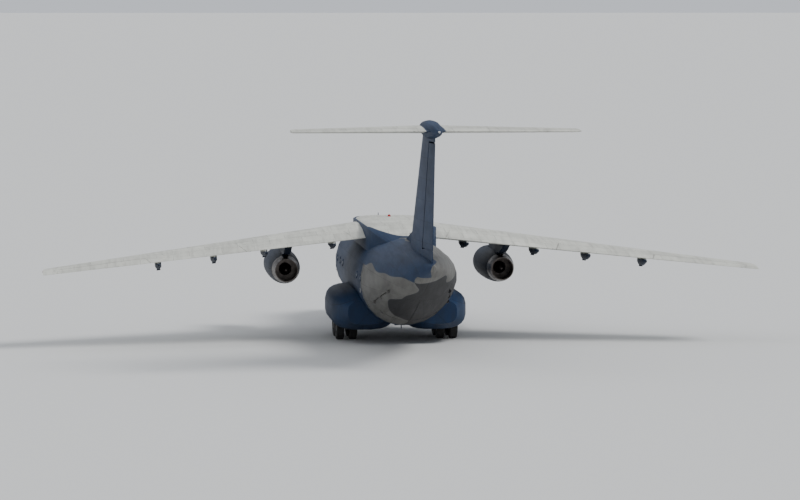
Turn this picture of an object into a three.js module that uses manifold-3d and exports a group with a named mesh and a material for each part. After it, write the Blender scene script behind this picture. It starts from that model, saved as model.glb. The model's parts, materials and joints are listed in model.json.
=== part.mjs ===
// A twin-turbofan, high-wing, T-tailed military transport plane, standing on its landing gear.
// The nose points along -Y, the port wing along +X and the fin along +Z. The origin lies on the
// ground below the middle of the aircraft. Sizes are in metres, and the exported group is scaled
// to millimetres. Stations called aft are metres behind the nose tip.
import * as THREE from 'three';
import { mergeVertices } from 'three/addons/utils/BufferGeometryUtils.js';
import Module from 'manifold-3d';

const wasm = await Module();
wasm.setup();

// Driving dimensions of the whole aircraft
const LENGTH = 29.0;
const HALF_SPAN = 15.3;
const TOP_HEIGHT = 9.99;
const SEAT = 0.0003;
const PLAY = 0.012;
const MILLIMETRES = 1000;

// Fuselage
const HULL_SIDES = 24;
const WALL = 0.11;
const REAR_WALL = 0.07;
const FRONT_JOIN = 6.3;
const REAR_JOIN = 15.7;
const CONE_JOIN = 22.9;
const RADOME_JOIN = 0.9;
const COCKPIT_FLOOR = 1.85;
const CARGO_FLOOR = 1.45;
const FLOOR_DEPTH = 0.14;

// Landing gear
const NOSE_GEAR_AFT = 2.9;
const MAIN_GEAR_AFT = 12.23;
const HALF_TRACK = 2.2;
const BOGIE_HALF = 0.65;
const MAIN_TYRE = { radius: 0.57, width: 0.36, rim: 0.3, spread: 0.28, axle: 0.06 };
const NOSE_TYRE = { radius: 0.4, width: 0.24, rim: 0.2, spread: 0.2, axle: 0.045 };
const WELL_ROOF = 1.5;
const TYRE_SIDES = 18;

// Wing. Spans are measured along the wing, which droops from the root to the tip.
const ANHEDRAL = THREE.MathUtils.degToRad(5.5);
const WING_SIDE = 1.5;
const WING_HEIGHT = 4.69;
const WING_ROOT = { span: WING_SIDE, aft: 9.0, chord: 5.6, thick: 0.125 };
const WING_TIP = { span: HALF_SPAN / Math.cos(ANHEDRAL), aft: 14.75, chord: 2.05, thick: 0.11 };
const WING_START = 1.2;
const FLAP_CHORD = 0.72;
const SLAT_CHORD = 0.1;
const SPOILER = {
  front: 0.56, rear: 0.7, from: 3.2, to: 10.3, depth: 0.05, hingeAft: 0.012, hingeDepth: 0.022,
};
const FLAPS = [
  { name: 'flap_inner', from: 2.3, to: 6.95, tracks: [2.9, 5.9] },
  { name: 'flap_outer', from: 6.98, to: 11.0, tracks: [8.1, 10.5] },
];
const AILERON = { from: 11.04, to: 14.9 };
const FLAP_PIVOT = -0.4;

// Engines
const ENGINE_X = 4.75;
const ENGINE_Z = 2.98;
const ENGINE_AFT = 7.4;
const ENGINE_SIDES = 20;
const DUCT_RADIUS = 0.52;

// Tail
const BULLET_RADIUS = 0.36;
const TAIL_HEIGHT = TOP_HEIGHT - BULLET_RADIUS;
const TAIL_ROOT = { span: 0, aft: 24.55, chord: 3.35, thick: 0.09 };
const TAIL_TIP = { span: 5.65, aft: 27.0, chord: 1.55, thick: 0.09 };
const ELEVATOR = { from: 0.66, to: 5.3, chord: 0.68 };
const FIN_ROOT = { span: 4.2, aft: 20.0, chord: 6.6, thick: 0.1 };
const FIN_TOP = { span: 9.6, aft: 24.3, chord: 3.3, thick: 0.1 };
const FIN_HOLLOW = { top: 8.9, front: 0.1, rear: 0.56, wall: 0.05 };
const RUDDER = { from: 4.87, to: 9.12, chord: 0.7, endGap: 0.06, pinGap: 0.002, recess: 0.025 };

const MATERIALS = {
  hull: { color: 0x2c3542, roughness: 0.55, metalness: 0.15 },
  wing: { color: 0xc9c8bd, roughness: 0.5, metalness: 0.15 },
  radome: { color: 0x17191c, roughness: 0.6, metalness: 0.0 },
  engine: { color: 0x1e2836, roughness: 0.5, metalness: 0.3 },
  hotMetal: { color: 0x6b635b, roughness: 0.45, metalness: 0.9 },
  steel: { color: 0x8f9498, roughness: 0.4, metalness: 0.8 },
  tyre: { color: 0x1b1b1c, roughness: 0.9, metalness: 0.0 },
  deck: { color: 0x6d7172, roughness: 0.6, metalness: 0.4 },
  glass: { color: 0x223038, roughness: 0.1, metalness: 0.0 },
  seat: { color: 0x39412f, roughness: 0.9, metalness: 0.0 },
  panel: { color: 0x2b2d2e, roughness: 0.7, metalness: 0.0 },
};

const aircraft = new THREE.Group();
aircraft.scale.setScalar(MILLIMETRES);

// Y of a station that lies a number of metres behind the nose tip
function at(aft) {
  return aft - LENGTH / 2;
}

function add(name, material, geometry, parent = aircraft) {
  const mesh = new THREE.Mesh(geometry, new THREE.MeshStandardMaterial(MATERIALS[material]));
  mesh.name = name;
  parent.add(mesh);
  return mesh;
}

// Solids are closed surfaces with merged corners
function bare(geometry) {
  const plain = new THREE.BufferGeometry();
  plain.setAttribute('position', geometry.getAttribute('position').clone());
  if (geometry.index) plain.setIndex(geometry.index.clone());
  return mergeVertices(plain, 1e-5);
}

function toSolid(geometry) {
  const plain = bare(geometry);
  const mesh = new wasm.Mesh({
    numProp: 3,
    vertProperties: Float32Array.from(plain.getAttribute('position').array),
    triVerts: Uint32Array.from(plain.index.array),
  });
  return new wasm.Manifold(mesh);
}

function toGeometry(solid) {
  const mesh = solid.getMesh();
  const geometry = new THREE.BufferGeometry();
  geometry.setAttribute('position', new THREE.BufferAttribute(mesh.vertProperties, 3));
  geometry.setIndex(new THREE.BufferAttribute(mesh.triVerts, 1));
  return geometry;
}

function volumeOf(positions, index) {
  const [a, b, c] = [new THREE.Vector3(), new THREE.Vector3(), new THREE.Vector3()];
  let volume = 0;
  for (let i = 0; i < index.length; i += 3) {
    a.fromArray(positions, index[i] * 3);
    b.fromArray(positions, index[i + 1] * 3);
    c.fromArray(positions, index[i + 2] * 3);
    volume += a.dot(b.cross(c)) / 6;
  }
  return volume;
}

// A closed skin over rings of equal point counts, with both ends capped by fans. Starboard
// facets are split along the other diagonal, so that a symmetric body is exactly symmetric.
function loft(rings) {
  const sides = rings[0].length;
  const positions = rings.flat(2);
  const index = [];
  for (let r = 0; r + 1 < rings.length; r += 1) {
    for (let s = 0; s < sides; s += 1) {
      const a = r * sides + s;
      const b = r * sides + ((s + 1) % sides);
      const [c, d] = [b + sides, a + sides];
      const across = [a, b, c, d].reduce((sum, corner) => sum + positions[corner * 3], 0);
      if (across < 0) index.push(a, b, d, b, c, d);
      else index.push(a, b, c, a, c, d);
    }
  }
  for (const [ring, first] of [[rings[0], 0], [rings.at(-1), (rings.length - 1) * sides]]) {
    const middle = [0, 1, 2].map((k) => ring.reduce((sum, point) => sum + point[k], 0) / sides);
    const hub = positions.length / 3;
    positions.push(...middle);
    for (let s = 0; s < sides; s += 1) {
      const [p, q] = [first + s, first + ((s + 1) % sides)];
      if (first === 0) index.push(q, p, hub);
      else index.push(p, q, hub);
    }
  }
  if (volumeOf(positions, index) < 0) index.reverse();
  const geometry = new THREE.BufferGeometry();
  geometry.setAttribute('position', new THREE.Float32BufferAttribute(positions, 3));
  geometry.setIndex(index);
  return toSolid(geometry);
}

function block(x0, x1, aft0, aft1, z0, z1) {
  const geometry = new THREE.BoxGeometry(x1 - x0, aft1 - aft0, z1 - z0);
  geometry.translate((x0 + x1) / 2, at((aft0 + aft1) / 2), (z0 + z1) / 2);
  return toSolid(geometry);
}

// An outline of [aft, z] points, extruded across the aircraft from x0 to x1
function sidePrism(outline, x0, x1) {
  const shape = new THREE.Shape(outline.map(([aft, z]) => new THREE.Vector2(at(aft), z)));
  const geometry = new THREE.ExtrudeGeometry(shape, { depth: x1 - x0, bevelEnabled: false });
  geometry.applyMatrix4(new THREE.Matrix4().set(0, 0, 1, x0, 1, 0, 0, 0, 0, 1, 0, 0, 0, 0, 0, 1));
  return toSolid(geometry);
}

// An outline of [x, aft] points, extruded upwards from z0 to z1
function planPrism(outline, z0, z1) {
  const shape = new THREE.Shape(outline.map(([x, aft]) => new THREE.Vector2(x, at(aft))));
  const geometry = new THREE.ExtrudeGeometry(shape, { depth: z1 - z0, bevelEnabled: false });
  geometry.translate(0, 0, z0);
  return toSolid(geometry);
}

// A round bar between two [x, aft, z] points
function bar(from, to, radius, endRadius = radius, sides = 12) {
  const start = new THREE.Vector3(from[0], at(from[1]), from[2]);
  const end = new THREE.Vector3(to[0], at(to[1]), to[2]);
  const along = end.clone().sub(start);
  const geometry = new THREE.CylinderGeometry(endRadius, radius, along.length(), sides);
  geometry.translate(0, along.length() / 2, 0);
  const turn = new THREE.Quaternion().setFromUnitVectors(
    new THREE.Vector3(0, 1, 0),
    along.clone().normalize(),
  );
  geometry.applyQuaternion(turn);
  geometry.translate(start.x, start.y, start.z);
  return toSolid(geometry);
}

const KNUCKLE_SIDES = 8;
const KNUCKLE_ROOM = 0.2;

// Interleaved hinge knuckles on the line from one [x, aft, z] point to another. At each distance
// along it a fixed knuckle ends and a moving one starts, and each body makes room for the other's,
// which is a fifth of the knuckle's radius.
function knuckles(from, to, radius, width, distances) {
  const start = new THREE.Vector3(...from);
  const along = new THREE.Vector3(...to).sub(start).normalize();
  const point = (distance) => start.clone().addScaledVector(along, distance).toArray();
  const bars = (near, far, size) => joined(distances.map((distance) => bar(
    point(distance + near),
    point(distance + far),
    size,
    size,
    KNUCKLE_SIDES,
  )));
  const room = KNUCKLE_ROOM * radius;
  return {
    moving: bars(SEAT, width, radius),
    fixed: bars(-width, -SEAT, radius),
    movingRoom: bars(0, width + room, radius + room),
    fixedRoom: bars(-width - room, 0, radius + room),
  };
}

function onMoving(solid, { moving, fixedRoom }) {
  return solid.subtract(fixedRoom).add(moving);
}

function onFixed(solid, { fixed, movingRoom }) {
  return solid.subtract(movingRoom).add(fixed);
}

// A body turned about the Y axis from [radius, aft] points, centred on x and z
function turned(profile, x, z, sides = ENGINE_SIDES) {
  const points = profile.map(([radius, aft]) => new THREE.Vector2(radius, at(aft)));
  const geometry = new THREE.LatheGeometry(points, sides);
  geometry.translate(x, 0, z);
  const solid = bare(geometry);
  if (volumeOf(solid.getAttribute('position').array, solid.index.array) < 0) {
    solid.setIndex([...solid.index.array].reverse());
  }
  return toSolid(solid);
}

// The starboard twin of a port solid
function mirrored(solid) {
  const geometry = toGeometry(solid);
  geometry.scale(-1, 1, 1);
  geometry.setIndex([...geometry.index.array].reverse());
  return toSolid(geometry);
}

function joined(solids) {
  return solids.reduce((all, next) => all.add(next));
}

// Adds a port solid and its starboard twin as two nodes
function addPair(name, material, solid) {
  add(`${name}_left`, material, toGeometry(solid));
  add(`${name}_right`, material, toGeometry(mirrored(solid)));
}

// Fuselage sections: half width, lowest and highest point, and the height of the widest line
const HULL = [
  { aft: 0.0, half: 0.08, low: 2.17, high: 2.33, wide: 2.25 },
  { aft: 0.12, half: 0.42, low: 1.84, high: 2.66, wide: 2.25 },
  { aft: 0.4, half: 0.76, low: 1.51, high: 2.97, wide: 2.26 },
  { aft: 0.9, half: 1.1, low: 1.21, high: 3.3, wide: 2.3 },
  { aft: 1.5, half: 1.38, low: 1.05, high: 3.56, wide: 2.38 },
  { aft: 2.5, half: 1.68, low: 0.92, high: 4.36, wide: 2.55 },
  { aft: 3.3, half: 1.83, low: 0.88, high: 4.64, wide: 2.68 },
  { aft: 4.3, half: 1.92, low: 0.85, high: 4.74, wide: 2.77 },
  { aft: 5.5, half: 1.95, low: 0.85, high: 4.75, wide: 2.8 },
  { aft: 15.7, half: 1.95, low: 0.85, high: 4.75, wide: 2.8 },
  { aft: 17.2, half: 1.94, low: 1.03, high: 4.75, wide: 2.9 },
  { aft: 18.9, half: 1.88, low: 1.45, high: 4.74, wide: 3.1 },
  { aft: 20.8, half: 1.7, low: 2.01, high: 4.71, wide: 3.36 },
  { aft: 22.9, half: 1.36, low: 2.68, high: 4.65, wide: 3.66 },
  { aft: 25.0, half: 0.88, low: 3.36, high: 4.55, wide: 3.95 },
  { aft: 26.4, half: 0.46, low: 3.82, high: 4.43, wide: 4.12 },
  { aft: 26.9, half: 0.12, low: 4.05, high: 4.29, wide: 4.17 },
];

function hullAt(aft) {
  const next = HULL.findIndex((section) => section.aft >= aft);
  if (next <= 0) return HULL[0];
  const [a, b] = [HULL[next - 1], HULL[next]];
  const t = (aft - a.aft) / (b.aft - a.aft);
  const mix = (key) => THREE.MathUtils.lerp(a[key], b[key], t);
  return { aft, half: mix('half'), low: mix('low'), high: mix('high'), wide: mix('wide') };
}

function hullRing(aft, inset) {
  const { half, low, high, wide } = hullAt(aft);
  return Array.from({ length: HULL_SIDES }, (_, i) => {
    const angle = ((i + 0.5) / HULL_SIDES) * Math.PI * 2;
    const rise = Math.sin(angle) > 0 ? high - wide : wide - low;
    return [
      Math.cos(angle) * Math.max(half - inset, 0.01),
      at(aft),
      wide + Math.sin(angle) * Math.max(rise - inset, 0.01),
    ];
  });
}

// The fuselage's body between two stations, drawn in by an inset
function hullBody(from, to, inset = 0) {
  const whole = loft(HULL.map((section) => hullRing(section.aft, inset)));
  return whole.intersect(block(-3, 3, from, to, 0, 6));
}

function hullHalfWidth(aft, z) {
  const { half, low, high, wide } = hullAt(aft);
  const rise = z > wide ? high - wide : wide - low;
  return half * Math.sqrt(Math.max(0, 1 - ((z - wide) / rise) ** 2));
}

// Fuselage skins
function hullSkin(from, to, wall = WALL) {
  return hullBody(from, to).subtract(hullBody(from - 0.05, to + 0.05, wall));
}

const RADOME = hullBody(-0.1, RADOME_JOIN - SEAT);

// Cockpit windows: front panes as [x, z] outlines, side panes as [aft, z] outlines
const FRONT_PANES = [
  [[0.04, 3.66], [0.5, 3.64], [0.5, 4.1], [0.04, 4.14]],
  [[0.58, 3.62], [0.98, 3.54], [0.94, 3.98], [0.58, 4.08]],
];
const SIDE_PANES = [
  [[2.22, 3.42], [2.72, 3.42], [2.72, 3.94], [2.5, 3.94]],
  [[2.8, 3.42], [3.28, 3.42], [3.2, 3.92], [2.8, 3.94]],
];
const GLASS_OUT = 0.035;
const GLASS_IN = 0.055;

function frontPrism(outline, aft0, aft1) {
  const shape = new THREE.Shape(outline.map(([x, z]) => new THREE.Vector2(x, z)));
  const geometry = new THREE.ExtrudeGeometry(shape, { depth: aft1 - aft0, bevelEnabled: false });
  geometry.rotateX(Math.PI / 2);
  geometry.translate(0, at(aft1), 0);
  return toSolid(geometry);
}

function glassBand(grow) {
  const layer = hullBody(1.2, 3.6, GLASS_OUT - grow).subtract(hullBody(1.1, 3.7, GLASS_IN + grow));
  return layer.intersect(block(-2, 2, 1.45 - grow, 3.35 + grow, 3.36 - grow, 4.2 + grow));
}

const paneCuts = joined([
  ...FRONT_PANES.map((outline) => frontPrism(outline, 1.2, 2.75)),
  ...SIDE_PANES.map((outline) => sidePrism(outline, 0.9, 2.2)),
]);

// Crew door on the port side, hinged along its lower edge
const CREW_DOOR = { front: 4.15, rear: 4.95, low: 1.45, high: 3.2 };

function crewDoorway(gap) {
  const { front, rear, low, high } = CREW_DOOR;
  return block(0.8, 2.4, front - gap, rear + gap, low - gap, high + gap);
}

// Nose gear bay, open below
const NOSE_BAY = { half: 0.56, front: 1.95, rear: 3.75 };
const noseBay = block(-NOSE_BAY.half, NOSE_BAY.half, NOSE_BAY.front, NOSE_BAY.rear, 0.4, 1.7);

const KNUCKLE = { radius: 0.03, width: 0.08 };
const crewHingeX = hullHalfWidth(CREW_DOOR.front, CREW_DOOR.low);
const crewHinge = knuckles(
  [crewHingeX, CREW_DOOR.front, CREW_DOOR.low],
  [crewHingeX, CREW_DOOR.rear, CREW_DOOR.low],
  KNUCKLE.radius,
  KNUCKLE.width,
  [0.2, 0.6],
);

const frontSkin = hullSkin(RADOME_JOIN, FRONT_JOIN - SEAT);
add('radome', 'radome', toGeometry(RADOME));
const frontShell = frontSkin
  .subtract(glassBand(SEAT))
  .subtract(paneCuts)
  .subtract(mirrored(paneCuts))
  .subtract(crewDoorway(PLAY))
  .subtract(noseBay);
add('fuselage_front', 'hull', toGeometry(onFixed(frontShell, crewHinge)));
add('cockpit_glass', 'glass', toGeometry(glassBand(0)));
add('crew_door', 'hull', toGeometry(onMoving(frontSkin.intersect(crewDoorway(0)), crewHinge)));
add('fuselage_centre', 'hull', toGeometry(hullSkin(FRONT_JOIN, REAR_JOIN - SEAT)));

// Floors lie between the walls
const COCKPIT_END = 4.0;
const BULKHEAD = 0.06;
const cockpitSpace = hullBody(RADOME_JOIN, COCKPIT_END, WALL + SEAT);
const FLOOR_UNDERSIDE = 1.65;
const BAY_WALL = 0.06;
const cockpitFloor = cockpitSpace.intersect(
  block(-2, 2, RADOME_JOIN, COCKPIT_END, FLOOR_UNDERSIDE, COCKPIT_FLOOR),
);
const bayBox = cockpitSpace
  .intersect(block(
    -NOSE_BAY.half - BAY_WALL,
    NOSE_BAY.half + BAY_WALL,
    NOSE_BAY.front - BAY_WALL,
    NOSE_BAY.rear + BAY_WALL,
    0,
    FLOOR_UNDERSIDE,
  ))
  .subtract(block(
    -NOSE_BAY.half,
    NOSE_BAY.half,
    NOSE_BAY.front,
    NOSE_BAY.rear,
    0,
    FLOOR_UNDERSIDE,
  ));
const frontBulkhead = hullBody(RADOME_JOIN, RADOME_JOIN + 0.1, WALL + SEAT);
const bulkhead = cockpitSpace
  .intersect(block(-2, 2, COCKPIT_END - BULKHEAD, COCKPIT_END, FLOOR_UNDERSIDE, 4.6))
  .subtract(block(-0.35, 0.35, 3.5, 4.5, COCKPIT_FLOOR, 3.75));
add('cockpit_floor', 'deck', toGeometry(
  joined([cockpitFloor, bulkhead, bayBox, frontBulkhead]),
));
add('cargo_floor', 'deck', toGeometry(
  hullBody(COCKPIT_END + SEAT, REAR_JOIN - SEAT, WALL + SEAT)
    .intersect(block(-2, 2, 3, 17, CARGO_FLOOR - FLOOR_DEPTH, CARGO_FLOOR)),
));

// Cockpit furniture: an instrument panel with its shroud, and two seats
const PANEL_AFT = 1.95;
add('instrument_panel', 'panel', toGeometry(
  hullBody(1.6, 2.4, WALL + SEAT).intersect(sidePrism(
    [[PANEL_AFT, COCKPIT_FLOOR + SEAT], [PANEL_AFT + 0.12, COCKPIT_FLOOR + SEAT],
      [PANEL_AFT + 0.12, 3.05], [PANEL_AFT + 0.3, 3.1], [PANEL_AFT + 0.3, 3.16],
      [PANEL_AFT, 3.16]],
    -1,
    1,
  )),
));
const SEAT_X = 0.58;
const seat = joined([
  block(SEAT_X - 0.08, SEAT_X + 0.08, 2.85, 3.1, COCKPIT_FLOOR + SEAT, 2.2),
  block(SEAT_X - 0.26, SEAT_X + 0.26, 2.68, 3.2, 2.18, 2.34),
  sidePrism([[3.1, 2.3], [3.22, 2.3], [3.34, 3.2], [3.22, 3.2]], SEAT_X - 0.25, SEAT_X + 0.25),
]);
addPair('pilot_seat', 'seat', seat);

// Cargo ramp: a wedge of the rear fuselage with a flat deck, hinged at its lower front edge
const RAMP = { front: 15.8, hinge: 0.9, half: 1.25, rear: 18.37, rearHigh: 18.2, deck: 1.9 };
const ramp = hullBody(RAMP.front, 18.7).intersect(sidePrism(
  [[RAMP.front, 0.5], [RAMP.rear, 0.5], [RAMP.rear, 1.3], [RAMP.rearHigh, RAMP.deck],
    [RAMP.front, CARGO_FLOOR]],
  -RAMP.half,
  RAMP.half,
));
const RAMP_KNUCKLES = [0.1, 0.42, 0.7];
const rampHinge = knuckles(
  [-0.4, RAMP.front, RAMP.hinge],
  [0.4, RAMP.front, RAMP.hinge],
  KNUCKLE.radius,
  KNUCKLE.width,
  RAMP_KNUCKLES,
);
add('cargo_ramp', 'hull', toGeometry(onMoving(ramp, rampHinge)));

// Two petal doors behind the ramp. Each turns about a line on the fuselage side.
const PETAL = {
  front: 18.41, rear: 22.3, share: 0.42, split: 0.006,
  standOff: 0.035, gutter: 0.06, knuckle: 0.075,
};

// A straight hinge line that stands off the skin, which bulges past it halfway along
function petalHinge(aft) {
  const { low, wide } = hullAt(aft);
  const z = low + PETAL.share * (wide - low);
  return new THREE.Vector3(hullHalfWidth(aft, z) + PETAL.standOff, at(aft), z);
}

function petalSpace(gap, split) {
  const front = petalHinge(PETAL.front);
  const rear = petalHinge(PETAL.rear);
  const along = rear.clone().sub(front).normalize();
  const slope = (rear.z - front.z) / (PETAL.rear - PETAL.front);
  const edge = (aft) => front.z + slope * (aft - PETAL.front) + gap;
  const reach = 1;
  const outline = [[PETAL.front - gap, 0.5], [PETAL.rear + reach, 0.5],
    [PETAL.rear + reach, edge(PETAL.rear + reach)], [PETAL.front - gap, edge(PETAL.front - gap)]];
  const depth = 8;
  const cut = new THREE.BoxGeometry(depth, depth, depth);
  cut.translate(0, gap - depth / 2, 0);
  cut.applyQuaternion(new THREE.Quaternion().setFromUnitVectors(new THREE.Vector3(0, 1, 0), along));
  cut.translate(rear.x, rear.y, rear.z);
  return sidePrism(outline, split, 3).intersect(toSolid(cut));
}

function stationPoint({ x, y, z }) {
  return [x, y + LENGTH / 2, z];
}

const rearSkin = hullSkin(REAR_JOIN, CONE_JOIN - SEAT, REAR_WALL);
const petalKnuckles = knuckles(
  stationPoint(petalHinge(PETAL.front)),
  stationPoint(petalHinge(PETAL.rear)),
  PETAL.knuckle,
  KNUCKLE.width,
  [0.5, 2.0, 3.5],
);
addPair('petal_door', 'hull', onMoving(
  rearSkin.intersect(petalSpace(0, PETAL.split)),
  petalKnuckles,
));

// Paratroop doors behind the wheel fairings, one on each side
const JUMP_DOOR = { front: 16.35, rear: 17.2, low: 1.75, high: 3.6 };

function jumpDoorway(gap) {
  const { front, rear, low, high } = JUMP_DOOR;
  return block(1, 2.4, front - gap, rear + gap, low - gap, high + gap);
}

addPair('paratroop_door', 'hull', rearSkin.intersect(jumpDoorway(0)));

// A gutter in the hull above the hinge line, where the edge of the bulging door swings up
const petalGutter = bar(
  stationPoint(petalHinge(PETAL.front)),
  stationPoint(petalHinge(PETAL.rear)),
  PETAL.gutter,
);
const sideOpenings = petalSpace(0.008, -0.01).add(jumpDoorway(SEAT)).add(petalGutter);
const bothKnuckles = {
  fixed: petalKnuckles.fixed.add(mirrored(petalKnuckles.fixed)),
  movingRoom: petalKnuckles.movingRoom.add(mirrored(petalKnuckles.movingRoom)),
};
const rampOpening = block(
  -RAMP.half - PLAY,
  RAMP.half + PLAY,
  RAMP.front - PLAY,
  PETAL.front,
  0.3,
  2.2,
);
const rearShell = rearSkin
  .subtract(sideOpenings)
  .subtract(mirrored(sideOpenings))
  .subtract(rampOpening);
add('fuselage_rear', 'hull', toGeometry(onFixed(onFixed(rearShell, bothKnuckles), rampHinge)));
add('tail_cone', 'hull', toGeometry(
  hullBody(CONE_JOIN, LENGTH).subtract(hullBody(CONE_JOIN - 0.05, 26.4, 0.05)),
));

// Wheel fairings: outermost x, lowest and highest point at each station
const FAIRING_X = 1.55;
const FAIRING_SIDES = 24;
const FAIRING = [
  { aft: 8.5, out: 2.05, low: 1.1, high: 1.6 },
  { aft: 8.8, out: 2.45, low: 0.82, high: 1.95 },
  { aft: 9.7, out: 2.85, low: 0.56, high: 2.22 },
  { aft: 10.6, out: 2.94, low: 0.5, high: 2.28 },
  { aft: 13.9, out: 2.94, low: 0.5, high: 2.28 },
  { aft: 14.9, out: 2.72, low: 0.64, high: 2.16 },
  { aft: 15.6, out: 2.35, low: 0.9, high: 1.9 },
];

function roundedRing({ aft, out, low, high }) {
  return Array.from({ length: FAIRING_SIDES }, (_, i) => {
    const angle = ((i + 0.5) / FAIRING_SIDES) * Math.PI * 2;
    const soft = (value) => Math.sign(value) * Math.abs(value) ** 0.65;
    return [
      FAIRING_X + (out - FAIRING_X) * soft(Math.cos(angle)),
      at(aft),
      (low + high) / 2 + ((high - low) / 2) * soft(Math.sin(angle)),
    ];
  });
}

const WELL = { inner: 1.66, outer: 2.74, half: 1.32 };
const hullClear = hullBody(0.2, 26.7, -SEAT);
const well = block(
  WELL.inner,
  WELL.outer,
  MAIN_GEAR_AFT - WELL.half,
  MAIN_GEAR_AFT + WELL.half,
  0,
  WELL_ROOF,
);
addPair('wheel_fairing', 'hull', loft(FAIRING.map(roundedRing)).subtract(hullClear).subtract(well));

// Twin wheels on one axle, turned about X through the axle's middle
function wheelPair({ radius, width, rim, spread, axle }) {
  const shoulder = radius * 0.93;
  const outboard = [
    [axle, 0],
    [axle, spread - width * 0.2],
    [rim, spread - width * 0.4],
    [shoulder, spread - width / 2],
    [radius, spread - width * 0.32],
    [radius, spread + width * 0.32],
    [shoulder, spread + width / 2],
    [rim, spread + width * 0.4],
    [axle * 1.7, spread + width * 0.12],
    [axle * 1.7, spread + width * 0.36],
  ];
  const inboard = outboard.slice(1).reverse().map(([r, x]) => [r, -x]);
  const end = outboard.at(-1)[1];
  const profile = [[0, -end], ...inboard, ...outboard.slice(1), [0, end]];
  const geometry = new THREE.LatheGeometry(
    profile.map(([r, x]) => new THREE.Vector2(r, x)),
    TYRE_SIDES,
  );
  geometry.rotateZ(-Math.PI / 2);
  const plain = bare(geometry);
  if (volumeOf(plain.getAttribute('position').array, plain.index.array) < 0) {
    plain.setIndex([...plain.index.array].reverse());
  }
  return plain;
}

function addWheels(name, size, x, aft) {
  add(name, 'tyre', wheelPair(size)).position.set(x, at(aft), size.radius);
}

for (const [side, x] of [['left', HALF_TRACK], ['right', -HALF_TRACK]]) {
  addWheels(`main_wheels_front_${side}`, MAIN_TYRE, x, MAIN_GEAR_AFT - BOGIE_HALF);
  addWheels(`main_wheels_rear_${side}`, MAIN_TYRE, x, MAIN_GEAR_AFT + BOGIE_HALF);
}
addWheels('nose_wheels', NOSE_TYRE, 0, NOSE_GEAR_AFT);

// Main legs: an oleo post with drag braces on a bogie beam that holds both axles
const AXLE_PLAY = 0.0011;
const BEAM_HALF = 0.07;
const axleHoles = joined([-BOGIE_HALF, BOGIE_HALF].map((offset) => {
  const aft = MAIN_GEAR_AFT + offset;
  const reach = BEAM_HALF * 2;
  return bar(
    [HALF_TRACK - reach, aft, MAIN_TYRE.radius],
    [HALF_TRACK + reach, aft, MAIN_TYRE.radius],
    MAIN_TYRE.axle + AXLE_PLAY,
    MAIN_TYRE.axle + AXLE_PLAY,
    20,
  );
}));
const mainLeg = joined([
  bar([HALF_TRACK, MAIN_GEAR_AFT, 0.6], [HALF_TRACK, MAIN_GEAR_AFT, 1.05], 0.055),
  bar([HALF_TRACK, MAIN_GEAR_AFT, 1.0], [HALF_TRACK, MAIN_GEAR_AFT, WELL_ROOF - SEAT], 0.085),
  block(
    HALF_TRACK - BEAM_HALF,
    HALF_TRACK + BEAM_HALF,
    MAIN_GEAR_AFT - BOGIE_HALF - 0.12,
    MAIN_GEAR_AFT + BOGIE_HALF + 0.12,
    MAIN_TYRE.radius - 0.1,
    MAIN_TYRE.radius + 0.1,
  ),
]).subtract(axleHoles);
addPair('main_leg', 'steel', mainLeg);

// Nose leg: a fixed upper leg and a steered lower leg that carries the axle
const STEER_JOIN = 1.15;
const noseLeg = joined([
  bar([0, NOSE_GEAR_AFT, STEER_JOIN + SEAT], [0, NOSE_GEAR_AFT, FLOOR_UNDERSIDE - SEAT], 0.1),
  bar([0, NOSE_GEAR_AFT, 1.3], [0, NOSE_GEAR_AFT + 0.56, 1.6], 0.04),
  block(-0.1, 0.1, NOSE_GEAR_AFT + 0.5, NOSE_GEAR_AFT + 0.66, 1.55, FLOOR_UNDERSIDE - SEAT),
]);
add('nose_leg', 'steel', toGeometry(noseLeg));
const noseStrut = joined([
  bar([0, NOSE_GEAR_AFT, NOSE_TYRE.radius], [0, NOSE_GEAR_AFT, STEER_JOIN], 0.07),
  bar([0, NOSE_GEAR_AFT, STEER_JOIN - 0.12], [0, NOSE_GEAR_AFT, STEER_JOIN], 0.12),
  block(-0.06, 0.06, NOSE_GEAR_AFT - 0.1, NOSE_GEAR_AFT + 0.1, 0.3, 0.55),
]).subtract(bar(
  [-0.2, NOSE_GEAR_AFT, NOSE_TYRE.radius],
  [0.2, NOSE_GEAR_AFT, NOSE_TYRE.radius],
  NOSE_TYRE.axle + AXLE_PLAY,
  NOSE_TYRE.axle + AXLE_PLAY,
  20,
));
add('nose_strut', 'steel', toGeometry(noseStrut));

// Nose gear doors hang open beside the bay
const NOSE_DOOR = { front: 2.0, rear: 3.65, low: 0.46, thick: 0.03 };
addPair('nose_gear_door', 'hull', block(
  NOSE_BAY.half,
  NOSE_BAY.half + NOSE_DOOR.thick,
  NOSE_DOOR.front,
  NOSE_DOOR.rear,
  NOSE_DOOR.low,
  1.6,
).subtract(hullClear));

// Aerofoils, from the trailing edge over the top to the nose and back below
const CHORD_STEPS = [0, 0.02, 0.09, 0.24, 0.46, 0.72, 1];
const WING_CAMBER = 0.018;

function halfThickness(thick, t) {
  const curve = 0.2969 * Math.sqrt(t) - 0.126 * t - 0.3516 * t ** 2 + 0.2843 * t ** 3 - 0.1015 * t ** 4;
  return 5 * thick * curve + 0.0012;
}

function mixed(root, tip, span) {
  const t = (span - root.span) / (tip.span - root.span);
  const mix = (key) => THREE.MathUtils.lerp(root[key], tip[key], t);
  return { aft: mix('aft'), chord: mix('chord'), thick: mix('thick') };
}

function chordPoint(root, tip, span, fraction) {
  const { aft, chord } = mixed(root, tip, span);
  return aft + chord * fraction;
}

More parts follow.
